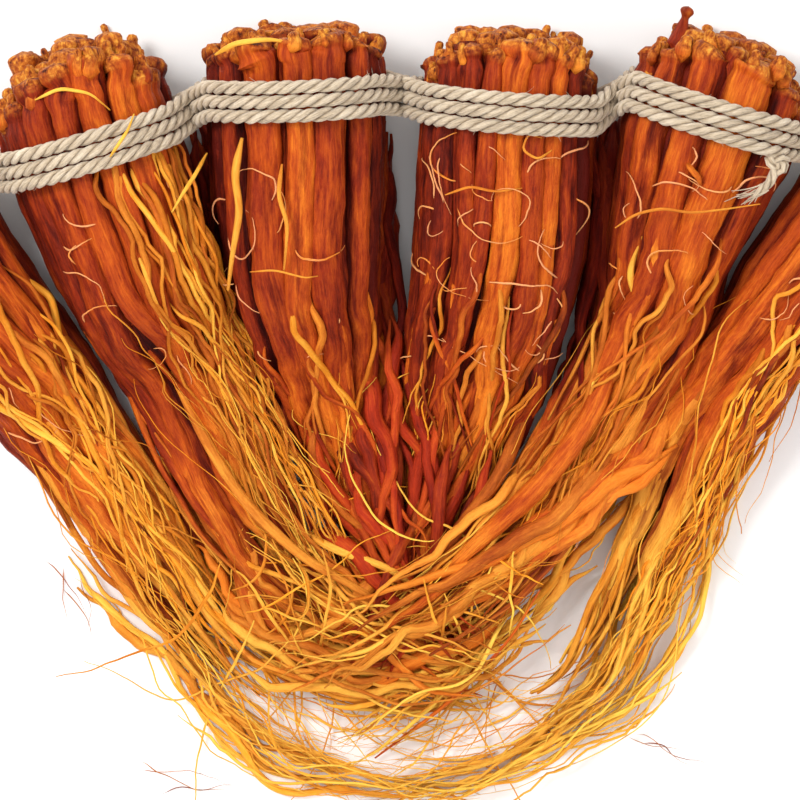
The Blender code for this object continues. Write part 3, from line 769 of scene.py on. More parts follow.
def bundle(strands, rng, guide, count, spread, sizes, heights, gold, reach=(0.4, 0.75), shade=1.0, rings=46):
    """Loose strands that run together along a guide, each from a part of it to another."""
    course = smooth_curve(np.array(guide) * PIXEL)
    knots = np.linspace(0.0, 1.0, len(course))
    widths = np.interp(knots, np.linspace(0.0, 1.0, len(spread)), spread)
    for _ in range(count):
        start = rng.uniform(0.0, 1.0 - reach[0])
        end = min(start + rng.uniform(*reach), 1.0)
        share = np.linspace(start, end, rings)
        step = np.linspace(0.0, 1.0, rings)
        flat = np.stack([np.interp(share, knots, column) for column in course.T], axis=1)
        ahead = unit(np.gradient(flat, axis=0))
        aside = np.stack((-ahead[:, 1], ahead[:, 0]), axis=1)
        lane = np.linspace(rng.uniform(-1.0, 1.0), rng.uniform(-1.0, 1.0), rings)
        along = along_path(flat)
        offset = lane * np.interp(share, knots, widths) + strand_waves(rng, along, rng.uniform(1.0, 3.2))
        height = rng.uniform(*heights) + (rng.uniform(*heights) - rng.uniform(*heights)) * step
        height += wander(rng, along, 0.8, 50.0) - 2.5 * (1.0 - ease(step / 0.2))
        path = seen(flat + aside * offset[:, None], np.maximum(height, 0.6))
        thick = sizes[0] + (sizes[1] - sizes[0]) * rng.uniform() ** 1.5
        radii = thick * (1.0 - 0.9 * step**1.6) * (0.2 + 0.8 * ease(step / 0.15))
        sides = 5 if thick < 0.5 else 7
        relief = None
        if thick > 0.8:
            sides = 8
            relief = ridges(rng, along, sides, 0.8)
        tone = rng.uniform(0.0, 0.9) + (0.5 if gold[0] >= 0.0 else 0.0)
        # Painted shade on each strand's underside and sides, turned away from up, softened by 0.7.
        strands.add(rng, path, radii, sides, tone, rng.uniform(*gold), 0.0, relief, UP + 0 * path, shade, 0.7)


def smooth_curve(points, number=60):
    """A smooth curve through a few points."""
    points = np.array(points, dtype=float)
    knots = np.linspace(0.0, 1.0, len(points))
    fine = np.linspace(0.0, 1.0, number)
    raw = np.stack([np.interp(fine, knots, column) for column in points.T], axis=1)
    reach = max(number // (2 * (len(points) - 1)), 1)
    window = np.hanning(2 * reach + 3)[1:-1]
    padded = np.pad(raw, ((reach, reach), (0, 0)), mode="reflect", reflect_type="odd")
    return np.stack([np.convolve(column, window / window.sum(), mode="valid") for column in padded.T], axis=1)


# Loose strands that leave the bunches: where they run, as seen on a picture 800 steps wide and counted from
# its middle, and then for each group of them how many, how far they spread on either side in mm, between
# which radii and heights in mm, how golden, and where it is given how much of the way they run and how
# light they are: painted shade for the roots among the bunches, the stray hairs' own grey brown on the floor.
LOOSE = (
    # the left bunch's tails, across the middle
    (((-220, -40), (-150, -130), (-80, -195), (10, -245), (90, -275)),
     (14, (9, 9, 7), (0.8, 1.9), (9, 15), (0.0, 0.5))),
    (((-200, -70), (-140, -145), (-70, -200), (20, -250), (100, -280)),
     (9, (9, 9, 7), (0.3, 0.9), (13, 18), (0.4, 0.9))),
    # the right bunch's thick roots, and its tails across the middle
    (((330, 70), (235, -50), (140, -130), (40, -190), (-40, -235)),
     (9, (9, 9, 7), (1.6, 3.1), (14, 18), (0.0, 0.35), (0.75, 0.95))),
    (((200, -20), (130, -100), (40, -185), (-50, -240), (-120, -270)),
     (14, (9, 10, 8), (0.9, 2.2), (11, 17), (0.0, 0.45))),
    (((160, -70), (100, -140), (30, -200), (-50, -245), (-120, -270)),
     (9, (8, 8, 7), (0.3, 0.9), (15, 19), (0.4, 0.9))),
    # roots that bend round under the middle
    (((-190, -110), (-130, -200), (-40, -255), (60, -240), (140, -150)),
     (22, (9, 8, 7), (0.9, 2.3), (5, 11), (0.1, 0.7), (0.5, 0.9))),
    (((-210, -150), (-150, -235), (-40, -280), (60, -275), (150, -200)),
     (18, (8, 7, 7), (0.6, 1.5), (6, 12), (0.3, 0.9), (0.5, 0.9))),
    # the middle bunches' tails, down the middle
    (((-110, 40), (-70, -80), (-25, -165), (15, -220), (60, -255)),
     (16, (8, 8, 7), (0.9, 2.3), (8, 15), (-0.4, 0.3), (0.6, 0.95))),
    (((110, 40), (60, -80), (20, -165), (-10, -220), (-40, -255)),
     (16, (9, 8, 7), (0.9, 2.3), (8, 15), (-0.4, 0.3), (0.6, 0.95))),
    (((-8, 90), (0, -20), (8, -110), (22, -180), (40, -240)),
     (12, (2, 6, 7, 5), (0.8, 2.0), (5, 13), (-0.75, 0.0), (0.6, 0.95), 0.85)),
    # dark roots down the gap between the middle bunches, their darkness painted shade for the gap
    (((-17, 300), (-14, 190), (-9, 90), (0, -20), (15, -120)),
     (6, (1.5, 1.5, 3, 4), (1.3, 2.2), (2, 8), (-0.9, -0.4), (0.86, 1.0), 0.45)),
    (((-70, 90), (-58, 0), (-36, -90), (-6, -165), (30, -230)),
     (11, (4, 5, 8, 6), (0.8, 2.0), (6, 13), (-0.6, 0.15), (0.7, 0.95), 0.95)),
    (((66, 90), (58, 0), (44, -80), (26, -145), (8, -205)),
     (6, (4, 4, 5, 4), (0.8, 1.9), (6, 12), (-0.6, 0.15), (0.7, 0.95), 0.95)),
    (((-50, 130), (-24, 30), (-16, -70), (0, -150)),
     (8, (2, 3, 4), (1.4, 2.6), (5, 11), (-0.6, 0.0), (0.6, 0.95), 0.8)),
    # the far left bunch's inner tails, under the middle
    (((-255, -150), (-180, -220), (-95, -265), (0, -290), (80, -290)),
     (14, (8, 8, 6), (0.7, 1.5), (1, 6), (0.1, 0.7)),
     (12, (8, 8, 6), (0.25, 0.6), (3, 9), (0.6, 1.1))),
    # the far right bunch's inner tails, under the middle
    (((230, -60), (170, -150), (110, -220), (40, -290), (-60, -350)),
     (12, (6, 6, 5), (0.7, 1.6), (5, 10), (0.3, 0.9)),
     (11, (7, 7, 5), (0.25, 0.7), (6, 13), (0.5, 1.1))),
    # the fan's lower rim, from the left and from the right
    (((-350, -100), (-268, -200), (-205, -290), (-125, -370), (-20, -394), (80, -392)),
     (14, (7, 6, 4), (0.5, 1.3), (1, 4), (0.5, 1.1)),
     (16, (8, 8, 4), (0.2, 0.5), (1, 6), (0.7, 1.1))),
    (((300, -60), (250, -140), (230, -200), (200, -270), (130, -350), (50, -388), (-40, -396)),
     (13, (6, 6, 4), (0.5, 1.4), (1, 5), (0.5, 1.1))),
    (((330, -60), (300, -130), (300, -200), (250, -290), (160, -350), (60, -388), (-40, -396)),
     (12, (6, 6, 4), (0.4, 1.0), (1, 5), (0.7, 1.1))),
    (((330, -60), (290, -130), (270, -200), (240, -290), (150, -350), (60, -388), (-40, -396)),
     (16, (9, 9, 4), (0.2, 0.5), (1, 7), (0.7, 1.1))),
    # thin hairs across the lens above the rim
    (((-170, -260), (-100, -340), (-20, -387)),
     (20, (12, 7), (0.12, 0.4), (1, 6), (0.5, 1.1))),
    (((120, -280), (50, -340), (-20, -379)),
     (20, (12, 7), (0.12, 0.4), (1, 6), (0.5, 1.1))),
    (((-140, -272), (-20, -315), (100, -320), (190, -280)),
     (18, (9, 9, 7), (0.12, 0.4), (1, 8), (0.5, 1.1))),
    # dark roots in the gaps between the right bunches and their neighbours, their darkness painted shade for
    # the deep shade in the gaps
    (((211, 300), (202, 190), (188, 90), (160, -20)),
     (9, (1, 2, 3), (1.4, 2.6), (2, 12), (-1.0, -0.5), (0.86, 1.0), 0.3)),
    (((-197, 300), (-190, 200), (-170, 110), (-140, 10)),
     (6, (1, 2, 3), (1.2, 2.2), (3, 10), (-0.8, -0.4), (0.86, 1.0), 0.45)),
    # stray hairs on the floor, most darkened to their own grey brown
    (((-355, -150), (-325, -190), (-300, -240)),
     (4, (6, 4), (0.1, 0.16), (0.5, 1), (0.2, 0.6), (0.4, 0.8), 0.4)),
    (((-280, -370), (-220, -378), (-160, -382)),
     (3, (3, 3), (0.1, 0.16), (0.5, 1), (0.2, 0.6), (0.6, 0.9), 0.4)),
    (((225, -325), (270, -345), (305, -372)),
     (3, (3, 3), (0.1, 0.16), (0.5, 1), (0.2, 0.6), (0.6, 0.9), 0.4)),
    (((300, -80), (315, -120), (318, -160), (350, -182)),
     (4, (3, 4), (0.12, 0.2), (0.5, 3), (0.8, 1.1), (0.5, 0.9))),
)

# Rootlets that lie across the bunches and the cord: places on the same picture, radius, heights of the ends
# and golden share.
SINGLE = (
    (((-365, 300), (-340, 312), (-310, 307), (-290, 290)), 0.45, (38.6, 38.6), 0.8),
    (((-290, 243), (-280, 258), (-272, 270), (-266, 286)), 0.4, (44.5, 44.5), 0.8),
    (((-185, 345), (-165, 357), (-130, 361), (-100, 355)), 0.65, (38.0, 38.0), 0.7),
    (((215, 172), (235, 186), (262, 192), (290, 187), (320, 190), (360, 196)), 0.35, (40.5, 40.5), 0.4),
    (((286, 238), (293, 228), (299, 222), (301, 212)), 0.7, (39.0, 39.0), 0.2),
    (((-158, 262), (-166, 225), (-160, 190), (-167, 150), (-172, 110)), 0.85, (40.0, 40.0), 0.5),
    (((-118, 236), (-122, 205), (-112, 175), (-116, 130)), 0.6, (41.0, 41.0), 0.4),
    (((-150, 128), (-125, 130), (-95, 122), (-82, 124)), 0.28, (41.0, 41.0), 0.4),
    (((152, 250), (138, 240), (122, 250), (128, 266), (142, 262)), 0.3, (40.5, 40.5), 0.4),
    (((45, 205), (70, 214), (95, 208), (122, 212)), 0.3, (40.5, 40.5), 0.3),
    (((-193, 247), (-205, 225), (-218, 205), (-228, 188)), 0.5, (30.0, 38.5), 0.8),
    (((-25, -358), (50, -302), (110, -240), (140, -190)), 0.5, (4.0, 19.0), -0.1),
    (((225, 60), (190, -20), (150, -75), (110, -115), (70, -150), (25, -195)), 2.5, (22.0, 17.5), 0.15),
    (((-160, -60), (-110, -125), (-65, -150), (-15, -166), (20, -188), (50, -212)), 1.0, (14.0, 17.5), 0.6),
    (((-235, 40), (-190, -50), (-150, -110), (-95, -160), (-40, -190), (10, -225)),
     1.3, (21.0, 16.0), 0.35),
)


def single_rootlet(strands, rng, places, radius, ends, gold):
    """One rootlet through places on the picture, at these heights at its ends."""
    flat = smooth_curve(np.array(places) * PIXEL, 40)
    step = np.linspace(0.0, 1.0, 40)
    heights = np.linspace(*ends, 40) + wander(rng, along_path(flat), 0.3, 12.0)
    heights -= 2.5 * (1.0 - ease(4.0 * np.minimum(step, 1.0 - step)))
    radii = radius * np.interp(step, (0.0, 0.15, 0.5, 1.0), (0.4, 0.95, 1.0, 0.4))
    relief = ridges(rng, along_path(flat), 8, 0.8)
    strands.add(rng, seen(flat, heights), radii, 8, 0.9, gold, 0.0, relief)


def tangle(strands, rng):
    """A thin curving root that lies over the tails in any direction."""
    steps = 44
    share = rng.uniform(0.25, 1.0) * rng.choice((-1.0, 1.0))
    down = rng.uniform() ** 0.7 * (1.0 - 0.5 * share**2)
    place = np.array((TANGLE_MIDDLE + share * TANGLE_REACH, TANGLE_TOP - TANGLE_REACH * down))
    heading = rng.normal(-0.5 * math.pi, 0.8) + 0.9 * -share
    bend = rng.normal(0.0, 0.025)
    length = rng.uniform(90.0, 260.0)
    places = [place]
    for _ in range(steps - 1):
        heading += bend + rng.normal(0.0, 0.09)
        places.append(places[-1] + length / steps * np.array((math.cos(heading), math.sin(heading))))
    step = np.linspace(0.0, 1.0, steps)
    low = np.clip((np.array(places)[:, 1] - TANGLE_BOTTOM) / TANGLE_RISE, 0.15, 1.0)
    heights = low * (rng.uniform(15.0, 21.0) - 5.0 * step)
    radii = rng.uniform(0.16, 0.5) * np.interp(step, (0.0, 0.2, 1.0), (0.4, 1.0, 0.25))
    path = seen(np.array(places) * PIXEL, heights)
    strands.add(rng, path, radii, 5, rng.uniform(0.2, 1.3), rng.uniform(0.5, 1.1))


def build_bunch(number, spec, root_skin):
    spec = {**USUAL, **spec}
    flow = Flow(spec)
    rng = np.random.default_rng(BUNCH_SEED + number)
    name = spec["name"]
    roots = [Root(rng, flow, *place, sides=FRONT_SIDES) for place in spec["front"]]
    # The roots between the front ones lie deeper and are darkened with painted shade.
    for before, after in zip(spec["front"], spec["front"][1:]):
        middle = (before[0] + after[0]) / 2.0 + rng.uniform(-3.0, 3.0)
        roots.append(Root(rng, flow, middle, rng.uniform(2.2, 3.0), rng.uniform(0.0, 0.4), 0.76, shade=0.45))
    # The back roots get painted shade too, and the outer two reach out so that they paint the gaps between
    # the bunches dark.
    for index in range(BACK_ROOTS):
        angle = 108.0 + 144.0 * index / (BACK_ROOTS - 1)
        reach = 1.12 if index in (0, BACK_ROOTS - 1) else 1.0
        roots.append(Root(rng, flow, angle, rng.uniform(3.2, 4.2), rng.uniform(0.0, 0.4), reach, shade=0.55))
    body = Strands()
    core(body, rng, flow)
    for root in roots:
        main_root(body, rng, flow, root)
    for count, reach in INNER_HEADS:
        for index in range(count):
            inner_head(body, rng, flow, index, count, reach)
    for _ in range(CROWN_STUBS):
        crown_stub(body, rng, flow)
    if name == SPIKED_BUNCH:
        spike_head(body, rng, flow)
    for _ in range(LEGS):
        leg(body, rng, flow, roots)
    piece = body.make(name + "_roots", root_skin)
    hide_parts(name)
    fine = Strands()
    count, angles, starts = spec["long_gold"]
    first, wide = spec["gold_from"], spec["gold_between"]
    pale = (spec["tail_gold"][0] + 0.2, spec["tail_gold"][1] + 0.4)
    ends = (5.2, flow.last + 0.3)
    # how many, their radii, where they start and end, between which angles, sway, lift, sides, rings and gold
    for copies, *values in (
        (count, (0.5, 1.15), starts, (4.8, 6.4), angles, 2.2, (1.0, 1.08), 8, 70, (0.25, 1.0)),
        (spec["rootlets"], (0.4, 1.2), (first, 4.4), (5.0, 6.7), wide, 1.8, (0.98, 1.08), 7, 60, pale),
        (
            spec["hairs"], (0.12, 0.3), (first + 0.3, 5.2), ends, HAIR_ANGLES, 2.8, (1.0, 1.2), 4, 56,
            HAIR_GOLD,
        ),
    ):
        for _ in range(copies):
            rootlet(fine, rng, flow, *values)
    for _ in range(spec["curls"]):
        curl(fine, rng, flow)
    piece = fine.make(name + "_rootlets", root_skin)
    return flow


def build_loose(root_skin):
    """The loose tails, with the thick ones in one piece and the thin ones in another."""
    rng = np.random.default_rng(LOOSE_SEED)
    thick, thin = Strands(), Strands()
    for guide, *groups in LOOSE:
        for group in groups:
            sizes = group[2]
            bundle(thick if sizes[1] > THICK_FROM else thin, rng, guide, *group)
    for row in SINGLE:
        single_rootlet(thin, rng, *row)
    for _ in range(TANGLES):
        tangle(thin, rng)
    for strands, name in ((thick, "loose_tails"), (thin, "loose_hairs")):
        piece = strands.make(name, root_skin)


def oval_reach(angle):
    """How far the cord's middle line stands from a bunch's middle, measured along its outward direction."""
    wide = (WAIST_HALF_WIDTH - ROOT_RADIUS) * math.cos(angle)
    deep = (WAIST_HALF_DEPTH - ROOT_RADIUS) * math.sin(angle)
    return math.hypot(wide, deep) + ROOT_RADIUS + CORD_CLEARANCE + CORD_DIAMETER / 2.0


def leaving_angle(flow, other):
    """The outward direction at which the cord leaves a bunch straight for the next one's other face."""
    half_gap = np.linalg.norm(other.cord - flow.cord) / 2.0
    low, high = 0.0, math.pi / 2.0
    for _ in range(40):
        angle = (low + high) / 2.0
        if half_gap * math.cos(angle) > oval_reach(angle):
            low = angle
        else:
            high = angle
    return low


def cord_point(flow, angle, face):
    """The cord's middle line at an outward direction, over the bunch (face 1) or behind it (face -1)."""
    a, b = WAIST_HALF_WIDTH - ROOT_RADIUS, WAIST_HALF_DEPTH - ROOT_RADIUS
    wide, deep = a * a * math.cos(angle), b * b * math.sin(angle)
    length = math.hypot(wide / a, deep / b)
    outward = flow.across * math.cos(angle) + UP * (face * math.sin(angle))
    on_oval = flow.across * (wide / length) + UP * (face * deep / length)
    stand_off = ROOT_RADIUS + CORD_CLEARANCE + CORD_DIAMETER / 2.0
    return flow.cord + UP * WAIST_MIDDLE + on_oval + outward * stand_off


def lacing_run(flows, first_face, offset, step=4.0):
    """One pass of the cord from the far left bunch to the far right one."""
    points = []
    for index, flow in enumerate(flows):
        face = first_face if index % 2 == 0 else -first_face
        start, end = math.pi, 0.0
        if index > 0:
            start -= leaving_angle(flows[index - 1], flow)
        if index < len(flows) - 1:
            end = leaving_angle(flow, flows[index + 1])
        steps = math.ceil(math.degrees(start - end) / step)
        for number in range(steps + 1):
            angle = start + (end - start) * number / steps
            points.append(cord_point(flow, angle, face) + flow.axis * offset)
    return points


def respaced(path, spacing):
    """The same path with points at an even spacing."""
    path = np.array(path)
    along = along_path(path)
    wanted = np.linspace(0.0, along[-1], max(int(along[-1] / spacing), 4))
    return np.stack([np.interp(wanted, along, column) for column in path.T], axis=1)


# The twine: how far its strands lie from its middle, their radius, the length of a turn, the spacing of its
# rings, and how many points a strand has that is long enough to bear fuzz.
STRAND_RING = 0.80
STRAND_RADIUS = 0.88
LAY = 10.0
ROPE_STEP = 1.0
FUZZED_FROM = 2000


def twisted(strands, rng, path, scale=1.0, sides=7):
    """Three strands laid left-handed round a path."""
    path = respaced(path, ROPE_STEP)
    along = along_path(path)
    ahead = unit(np.gradient(path, axis=0))
    right, top = carried(ahead, np.cross(ahead[0], UP + 0.01))
    sway = wander(rng, along, 0.25, 23.0)
    scale = np.broadcast_to(scale, (len(path),))
    for number in range(3):
        turn = 2.0 * math.pi * (along / LAY + number / 3.0) + sway
        ring = (STRAND_RING * scale)[:, None]
        centre = path + (right * np.cos(turn)[:, None] + top * np.sin(turn)[:, None]) * ring
        thick = STRAND_RADIUS * scale * (1.0 + wander(rng, along, 0.07, 6.0))
        away = unit(centre - path)
        # Painted shade on each strand's side turned towards the cord's middle.
        strands.add(rng, centre, thick, sides, rng.uniform(0, 1), 0.0, 0.0, None, away)


def knot(strands, rng, flow):
    """The cord's knot at the band's lower edge, with a loose end that frays."""
    angle = math.radians(KNOT_ANGLE)
    outward = flow.across * math.cos(angle) + UP * math.sin(angle)
    edge = PASS_PITCH + CORD_DIAMETER / 2.0
    place = cord_point(flow, angle, 1.0) + flow.axis * (edge + 0.6) + outward * 0.7
    frame = np.stack((flow.axis, flow.across, outward))
    turn = np.linspace(0.0, 3.3 * math.pi, 40)
    swing = 1.0 + 0.25 * np.cos(1.5 * turn)
    loops = (1.5 * swing * np.cos(turn), 1.7 * swing * np.sin(turn), 0.9 * np.sin(1.5 * turn))
    twisted(strands, rng, place + np.stack(loops, axis=1) @ frame, 0.75)
    end = smooth_curve(LOOSE_END, 30)
    twisted(strands, rng, place + end @ frame, np.linspace(0.85, 0.6, len(respaced(end, ROPE_STEP))))
    for _ in range(FRAYED_FIBRES):
        steps = np.linspace(0.0, 1.0, 12)[:, None]
        lean = rng.normal(0.0, 1.0, 3) * (1.2, 1.2, 0.6)
        fibre = np.array(LOOSE_END[-2]) + steps * (np.array(LOOSE_END[-1]) - np.array(LOOSE_END[-2])) * 1.9
        fibre = fibre + lean * steps**1.5 + rng.normal(0.0, 0.35, 3)
        strands.add(rng, place + fibre @ frame, np.linspace(0.22, 0.08, 12), 5, rng.uniform(0, 1), 0.0)


def fuzz(strands, rng):
    """Short loose fibres that stand off the cord."""
    skins = [points for points in strands.points if len(points) > FUZZED_FROM]
    for _ in range(FUZZ_FIBRES):
        points = skins[rng.integers(len(skins))]
        first = points[rng.integers(len(points) - 40)]
        away = rng.normal(0.0, 1.0, 3) * (1.0, 1.0, 0.6)
        steps = np.linspace(0.0, 1.0, 5)[:, None]
        bend = rng.normal(0.0, 0.5, 3)
        path = first + unit(away) * steps * rng.uniform(0.8, 2.4) + bend * steps**2
        strands.add(rng, path, np.linspace(0.07, 0.03, 5), 3, 0.8, 0.0)


def build_cord(flows, cord_look):
    rng = np.random.default_rng(CORD_SEED)
    cord = Strands()
    for number in range(3):
        offset = (number - 1) * PASS_PITCH
        over = lacing_run(flows, 1.0, offset)
        behind = lacing_run(flows, -1.0, offset)
        loop = over + behind[::-1]
        twisted(cord, rng, loop + loop[:2])
    knot(cord, rng, flows[KNOTTED_BUNCH])
    fuzz(cord, rng)
    piece = cord.make("twisted_lacing", cord_look)
    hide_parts("lacing_cord")


class Nodes:
    """Short calls that add shader nodes to a material and link them."""

    def __init__(self, name):
        self.material = bpy.data.materials.new(name)
        self.material.use_nodes = True
        self.tree = self.material.node_tree
        self.shader = self.tree.nodes["Principled BSDF"]

    def add(self, kind, **settings):
        node = self.tree.nodes.new(kind)
        for key, value in settings.items():
            setattr(node, key, value)
        return node

    def link(self, start, end):
        self.tree.links.new(start, end)

    def attribute(self, name):
        return self.add("ShaderNodeAttribute", attribute_name=name)

    def noise(self, vector, scale, detail=4.0, roughness=0.55, stretch=(1.0, 1.0, 1.0)):
        mapping = self.add("ShaderNodeMapping")
        mapping.inputs["Scale"].default_value = stretch
        self.link(vector, mapping.inputs["Vector"])
        node = self.add("ShaderNodeTexNoise")
        for name, value in (("Scale", scale), ("Detail", detail), ("Roughness", roughness)):
            node.inputs[name].default_value = value
        self.link(mapping.outputs["Vector"], node.inputs["Vector"])
        return node.outputs["Fac"]

    def maths(self, operation, first, second=None):
        node = self.add("ShaderNodeMath", operation=operation)
        for socket, value in zip(node.inputs, (first, second)):
            if isinstance(value, (int, float)):
                socket.default_value = value
            elif value is not None:
                self.link(value, socket)
        return node.outputs[0]

    def blend(self, first, part, second, rest):
        return self.maths("ADD", self.maths("MULTIPLY", first, part), self.maths("MULTIPLY", second, rest))

    def nudge(self, value, by, strength):
        """The value, moved up where the other is over a half and down where it is under."""
        return self.maths("ADD", value, self.maths("MULTIPLY", self.maths("SUBTRACT", by, 0.5), strength))

    def range(self, value, low, high, to_low=0.0, to_high=1.0):
        node = self.add("ShaderNodeMapRange")
        for name, limit in (("From Min", low), ("From Max", high), ("To Min", to_low), ("To Max", to_high)):
            node.inputs[name].default_value = limit
        self.link(value, node.inputs["Value"])
        return node.outputs["Result"]

    def ramp(self, value, stops):
        node = self.add("ShaderNodeValToRGB")
        elements = node.color_ramp.elements
        elements[0].position, elements[0].color = stops[0][0], (*stops[0][1], 1.0)
        elements[1].position, elements[1].color = stops[-1][0], (*stops[-1][1], 1.0)
        for position, colour in stops[1:-1]:
            elements.new(position).color = (*colour, 1.0)
        self.link(value, node.inputs["Fac"])
        return node.outputs["Color"]

    def mix(self, share, first, second, blend="MIX"):
        node = self.add("ShaderNodeMix", data_type="RGBA", blend_type=blend)
        sockets = {"share": node.inputs[0], "first": node.inputs[6], "second": node.inputs[7]}
        for key, value in (("share", share), ("first", first), ("second", second)):
            if isinstance(value, (int, float)):
                sockets[key].default_value = value
            elif isinstance(value, tuple):
                sockets[key].default_value = (*value, 1.0)
            else:
                self.link(value, sockets[key])
        return node.outputs[2]

    def bump(self, height, distance, normal=None, strength=1.0):
        node = self.add("ShaderNodeBump")
        node.inputs["Strength"].default_value = strength
        node.inputs["Distance"].default_value = distance
        self.link(height, node.inputs["Height"])
        if normal is not None:
            self.link(normal, node.inputs["Normal"])
        return node.outputs["Normal"]


# Colours on ramps: where each lies and its red, green and blue.
BODY_COLOURS = (
    (0.30, (0.09, 0.006, 0.002)), (0.42, (0.27, 0.023, 0.004)), (0.55, (0.50, 0.074, 0.006)),
    (0.70, (0.80, 0.20, 0.014)), (0.86, (0.84, 0.25, 0.030)), (1.0, (0.88, 0.36, 0.15)),
)
DEEP_COLOURS = ((0.3, (0.14, 0.006, 0.003)), (0.5, (0.42, 0.030, 0.006)), (0.7, (0.66, 0.10, 0.010)))
GOLDEN_COLOURS = ((0.28, (0.80, 0.20, 0.008)), (0.44, (1.0, 0.36, 0.020)), (0.66, (1.0, 0.60, 0.08)))
CROWN_COLOURS = (
    (0.36, (0.05, 0.008, 0.003)), (0.45, (0.30, 0.055, 0.008)), (0.54, (0.58, 0.17, 0.018)),
    (0.65, (0.85, 0.38, 0.05)),
)
# Painted shade that the roots' colour is multiplied by, from the darkest to none.
PAINTED_SHADE_COLOURS = ((0.0, (0.16, 0.06, 0.08)), (0.35, (0.50, 0.33, 0.34)), (0.8, (1.0, 1.0, 1.0)))
FIBRE_COLOURS = ((0.32, (0.30, 0.22, 0.14)), (0.5, (0.64, 0.50, 0.34)), (0.68, (0.86, 0.73, 0.55)))
# Painted shade that the cord's colour is multiplied by, between its strands.
CORD_SHADE_COLOURS = ((0.0, (0.36, 0.29, 0.22)), (0.45, (0.74, 0.70, 0.64)), (0.9, (1.0, 1.0, 1.0)))
FLOOR_COLOURS = ((0.3, (0.88, 0.87, 0.86)), (0.7, (0.92, 0.91, 0.90)))


def root_skin_material():
    """Dried red ginseng: red brown bodies, golden tails, yellow cut crowns, wrinkled and mottled, with
    painted shade in its furrows and on sides turned into the bunch.
    """
    n = Nodes("root_skin")
    skin = n.attribute("skin").outputs["Vector"]
    tone = n.attribute("tone").outputs["Fac"]
    gold = n.attribute("gold").outputs["Fac"]
    crown = n.attribute("crown").outputs["Fac"]
    painted_light_share = n.attribute("open").outputs["Fac"]
    streaks = n.noise(skin, 1.3, 6.0, 0.72, (1.0, 1.0, 0.09))
    mottle = n.noise(skin, 0.13, 5.0, 0.65, (1.0, 1.0, 0.35))
    grain = n.noise(skin, 2.6, 3.0, 0.6, (1.0, 1.0, 0.5))
    blend = n.nudge(n.blend(streaks, 0.55, mottle, 0.45), tone, 0.26)
    share = n.nudge(gold, mottle, 0.4)
    body, deep, golden = (n.ramp(blend, stops) for stops in (BODY_COLOURS, DEEP_COLOURS, GOLDEN_COLOURS))
    colour = n.mix(n.range(share, -0.3, 0.0, 1.0, 0.0), body, deep)
    colour = n.mix(n.range(share, 0.15, 0.9), colour, golden)
    pits = n.noise(skin, 0.8, 4.0, 0.65, (1.0, 1.0, 0.8))
    tops = n.ramp(n.blend(pits, 0.75, blend, 0.25), CROWN_COLOURS)
    knobs = n.nudge(crown, mottle, 1.2)
    colour = n.mix(n.range(knobs, 0.35, 0.95), colour, tops)
    # Painted shade: the colour is multiplied by dark red where the open value is low, in furrows and on sides
    # turned into the bunch.
    painted_shade = n.ramp(n.nudge(painted_light_share, streaks, 0.9), PAINTED_SHADE_COLOURS)
    n.link(n.mix(1.0, colour, painted_shade, "MULTIPLY"), n.shader.inputs["Base Color"])
    n.link(n.range(grain, 0.3, 0.7, 0.42, 0.64), n.shader.inputs["Roughness"])
    n.shader.inputs["Specular IOR Level"].default_value = 0.12
    normal = n.bump(streaks, 0.0006)
    normal = n.bump(grain, 0.0002, normal)
    n.link(normal, n.shader.inputs["Normal"])
    return n.material


def cord_material():
    """Off-white plant-fibre cord: matt, with fine fibres along each strand and painted shade between the
    strands.
    """
    n = Nodes("cord_fibre")
    skin = n.attribute("skin").outputs["Vector"]
    fibres = n.noise(skin, 3.2, 4.0, 0.65, (1.0, 1.0, 0.15))
    patches = n.noise(skin, 0.5, 3.0, 0.5, (1.0, 1.0, 0.3))
    colour = n.ramp(n.blend(fibres, 0.6, patches, 0.4), FIBRE_COLOURS)
    groove_shade = n.ramp(n.attribute("open").outputs["Fac"], CORD_SHADE_COLOURS)
    n.link(n.mix(1.0, colour, groove_shade, "MULTIPLY"), n.shader.inputs["Base Color"])
    n.shader.inputs["Roughness"].default_value = 0.9
    n.shader.inputs["Sheen Weight"].default_value = 0.3
    n.link(n.bump(fibres, 0.0007), n.shader.inputs["Normal"])
    return n.material


# The studio's lamps: name, place in metres, size and power.
LAMPS = (("key", (-0.6, 0.5, 1.0), 0.4, 10.5), ("fill", (0.8, -0.2, 1.0), 0.6, 2.6))
SKY_STRENGTH = 1.03
FLOOR_SIZE = 8.0
SENSOR_WIDTH = 36.0


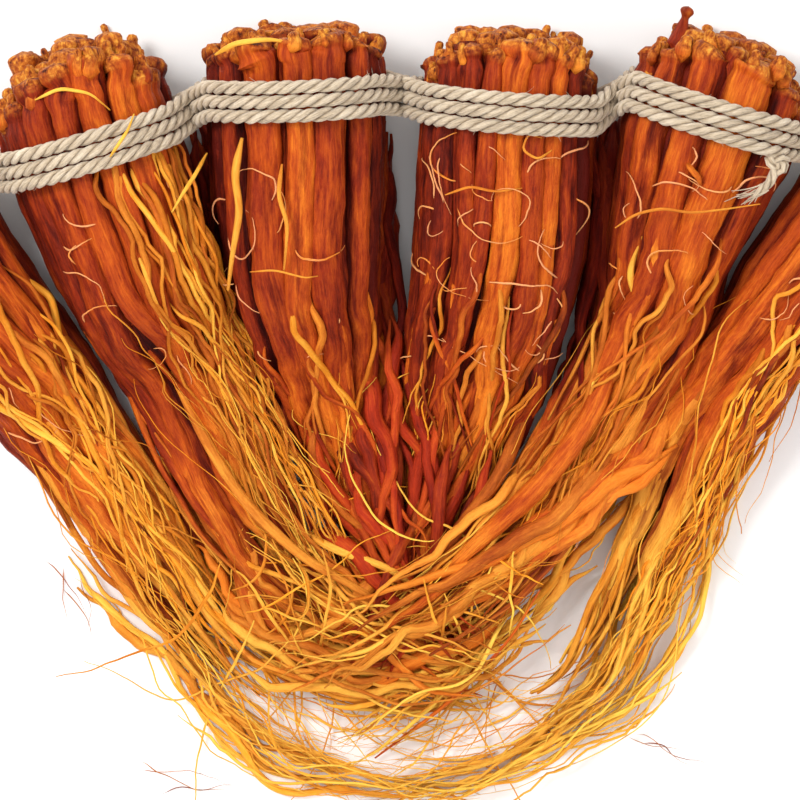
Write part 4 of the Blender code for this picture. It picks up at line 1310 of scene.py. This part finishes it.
def floor_material():
    n = Nodes("pale_floor")
    place = n.add("ShaderNodeTexCoord").outputs["Object"]
    cloud = n.noise(place, 3.0, 2.0, 0.5)
    n.link(n.ramp(cloud, FLOOR_COLOURS), n.shader.inputs["Base Color"])
    n.shader.inputs["Roughness"].default_value = 0.8
    return n.material


def build_stage():
    bpy.ops.mesh.primitive_plane_add(size=FLOOR_SIZE, location=(0.0, 0.0, 0.0))
    floor = bpy.context.object
    floor.name = "floor"
    floor.data.materials.append(floor_material())
    world = bpy.data.worlds.new("soft_studio")
    world.use_nodes = True
    sky = world.node_tree.nodes["Background"].inputs
    sky["Color"].default_value = (1.0, 1.0, 1.0, 1.0)
    sky["Strength"].default_value = SKY_STRENGTH
    bpy.context.scene.world = world
    for name, place, size, power in LAMPS:
        lamp = bpy.data.objects.new(name, bpy.data.lights.new(name, "AREA"))
        lamp.data.size = size
        lamp.data.energy = power
        lamp.location = place
        aim = -np.array(place)
        lamp.rotation_euler = (math.acos(-unit(aim)[2]), 0.0, math.atan2(aim[0], -aim[1]) + math.pi)
        lamp.visible_camera = False
        bpy.context.scene.collection.objects.link(lamp)


def build_camera():
    camera = bpy.data.objects.new("camera", bpy.data.cameras.new("camera"))
    lean = math.radians(CAMERA_LEAN)
    target = (np.array((0.0, 0.0, VIEW_HEIGHT)) - FAN_MIDDLE) * MM
    back = np.array((0.0, math.sin(lean), math.cos(lean)))
    camera.location = target + back * CAMERA_DISTANCE * MM
    camera.rotation_euler = (-lean, 0.0, 0.0)
    camera.data.sensor_width = SENSOR_WIDTH
    camera.data.lens = SENSOR_WIDTH * CAMERA_DISTANCE / VIEW_WIDTH
    camera.data.clip_start = 0.05
    camera.data.clip_end = 20.0
    bpy.context.scene.collection.objects.link(camera)
    bpy.context.scene.camera = camera


build_camera()
build_stage()
root_skin = root_skin_material()
flows = [build_bunch(number, spec, root_skin) for number, spec in enumerate(BUNCHES)]
build_loose(root_skin)
build_cord(flows, cord_material())
view = bpy.context.scene.view_settings
view.view_transform = "Standard"
view.look = "None"
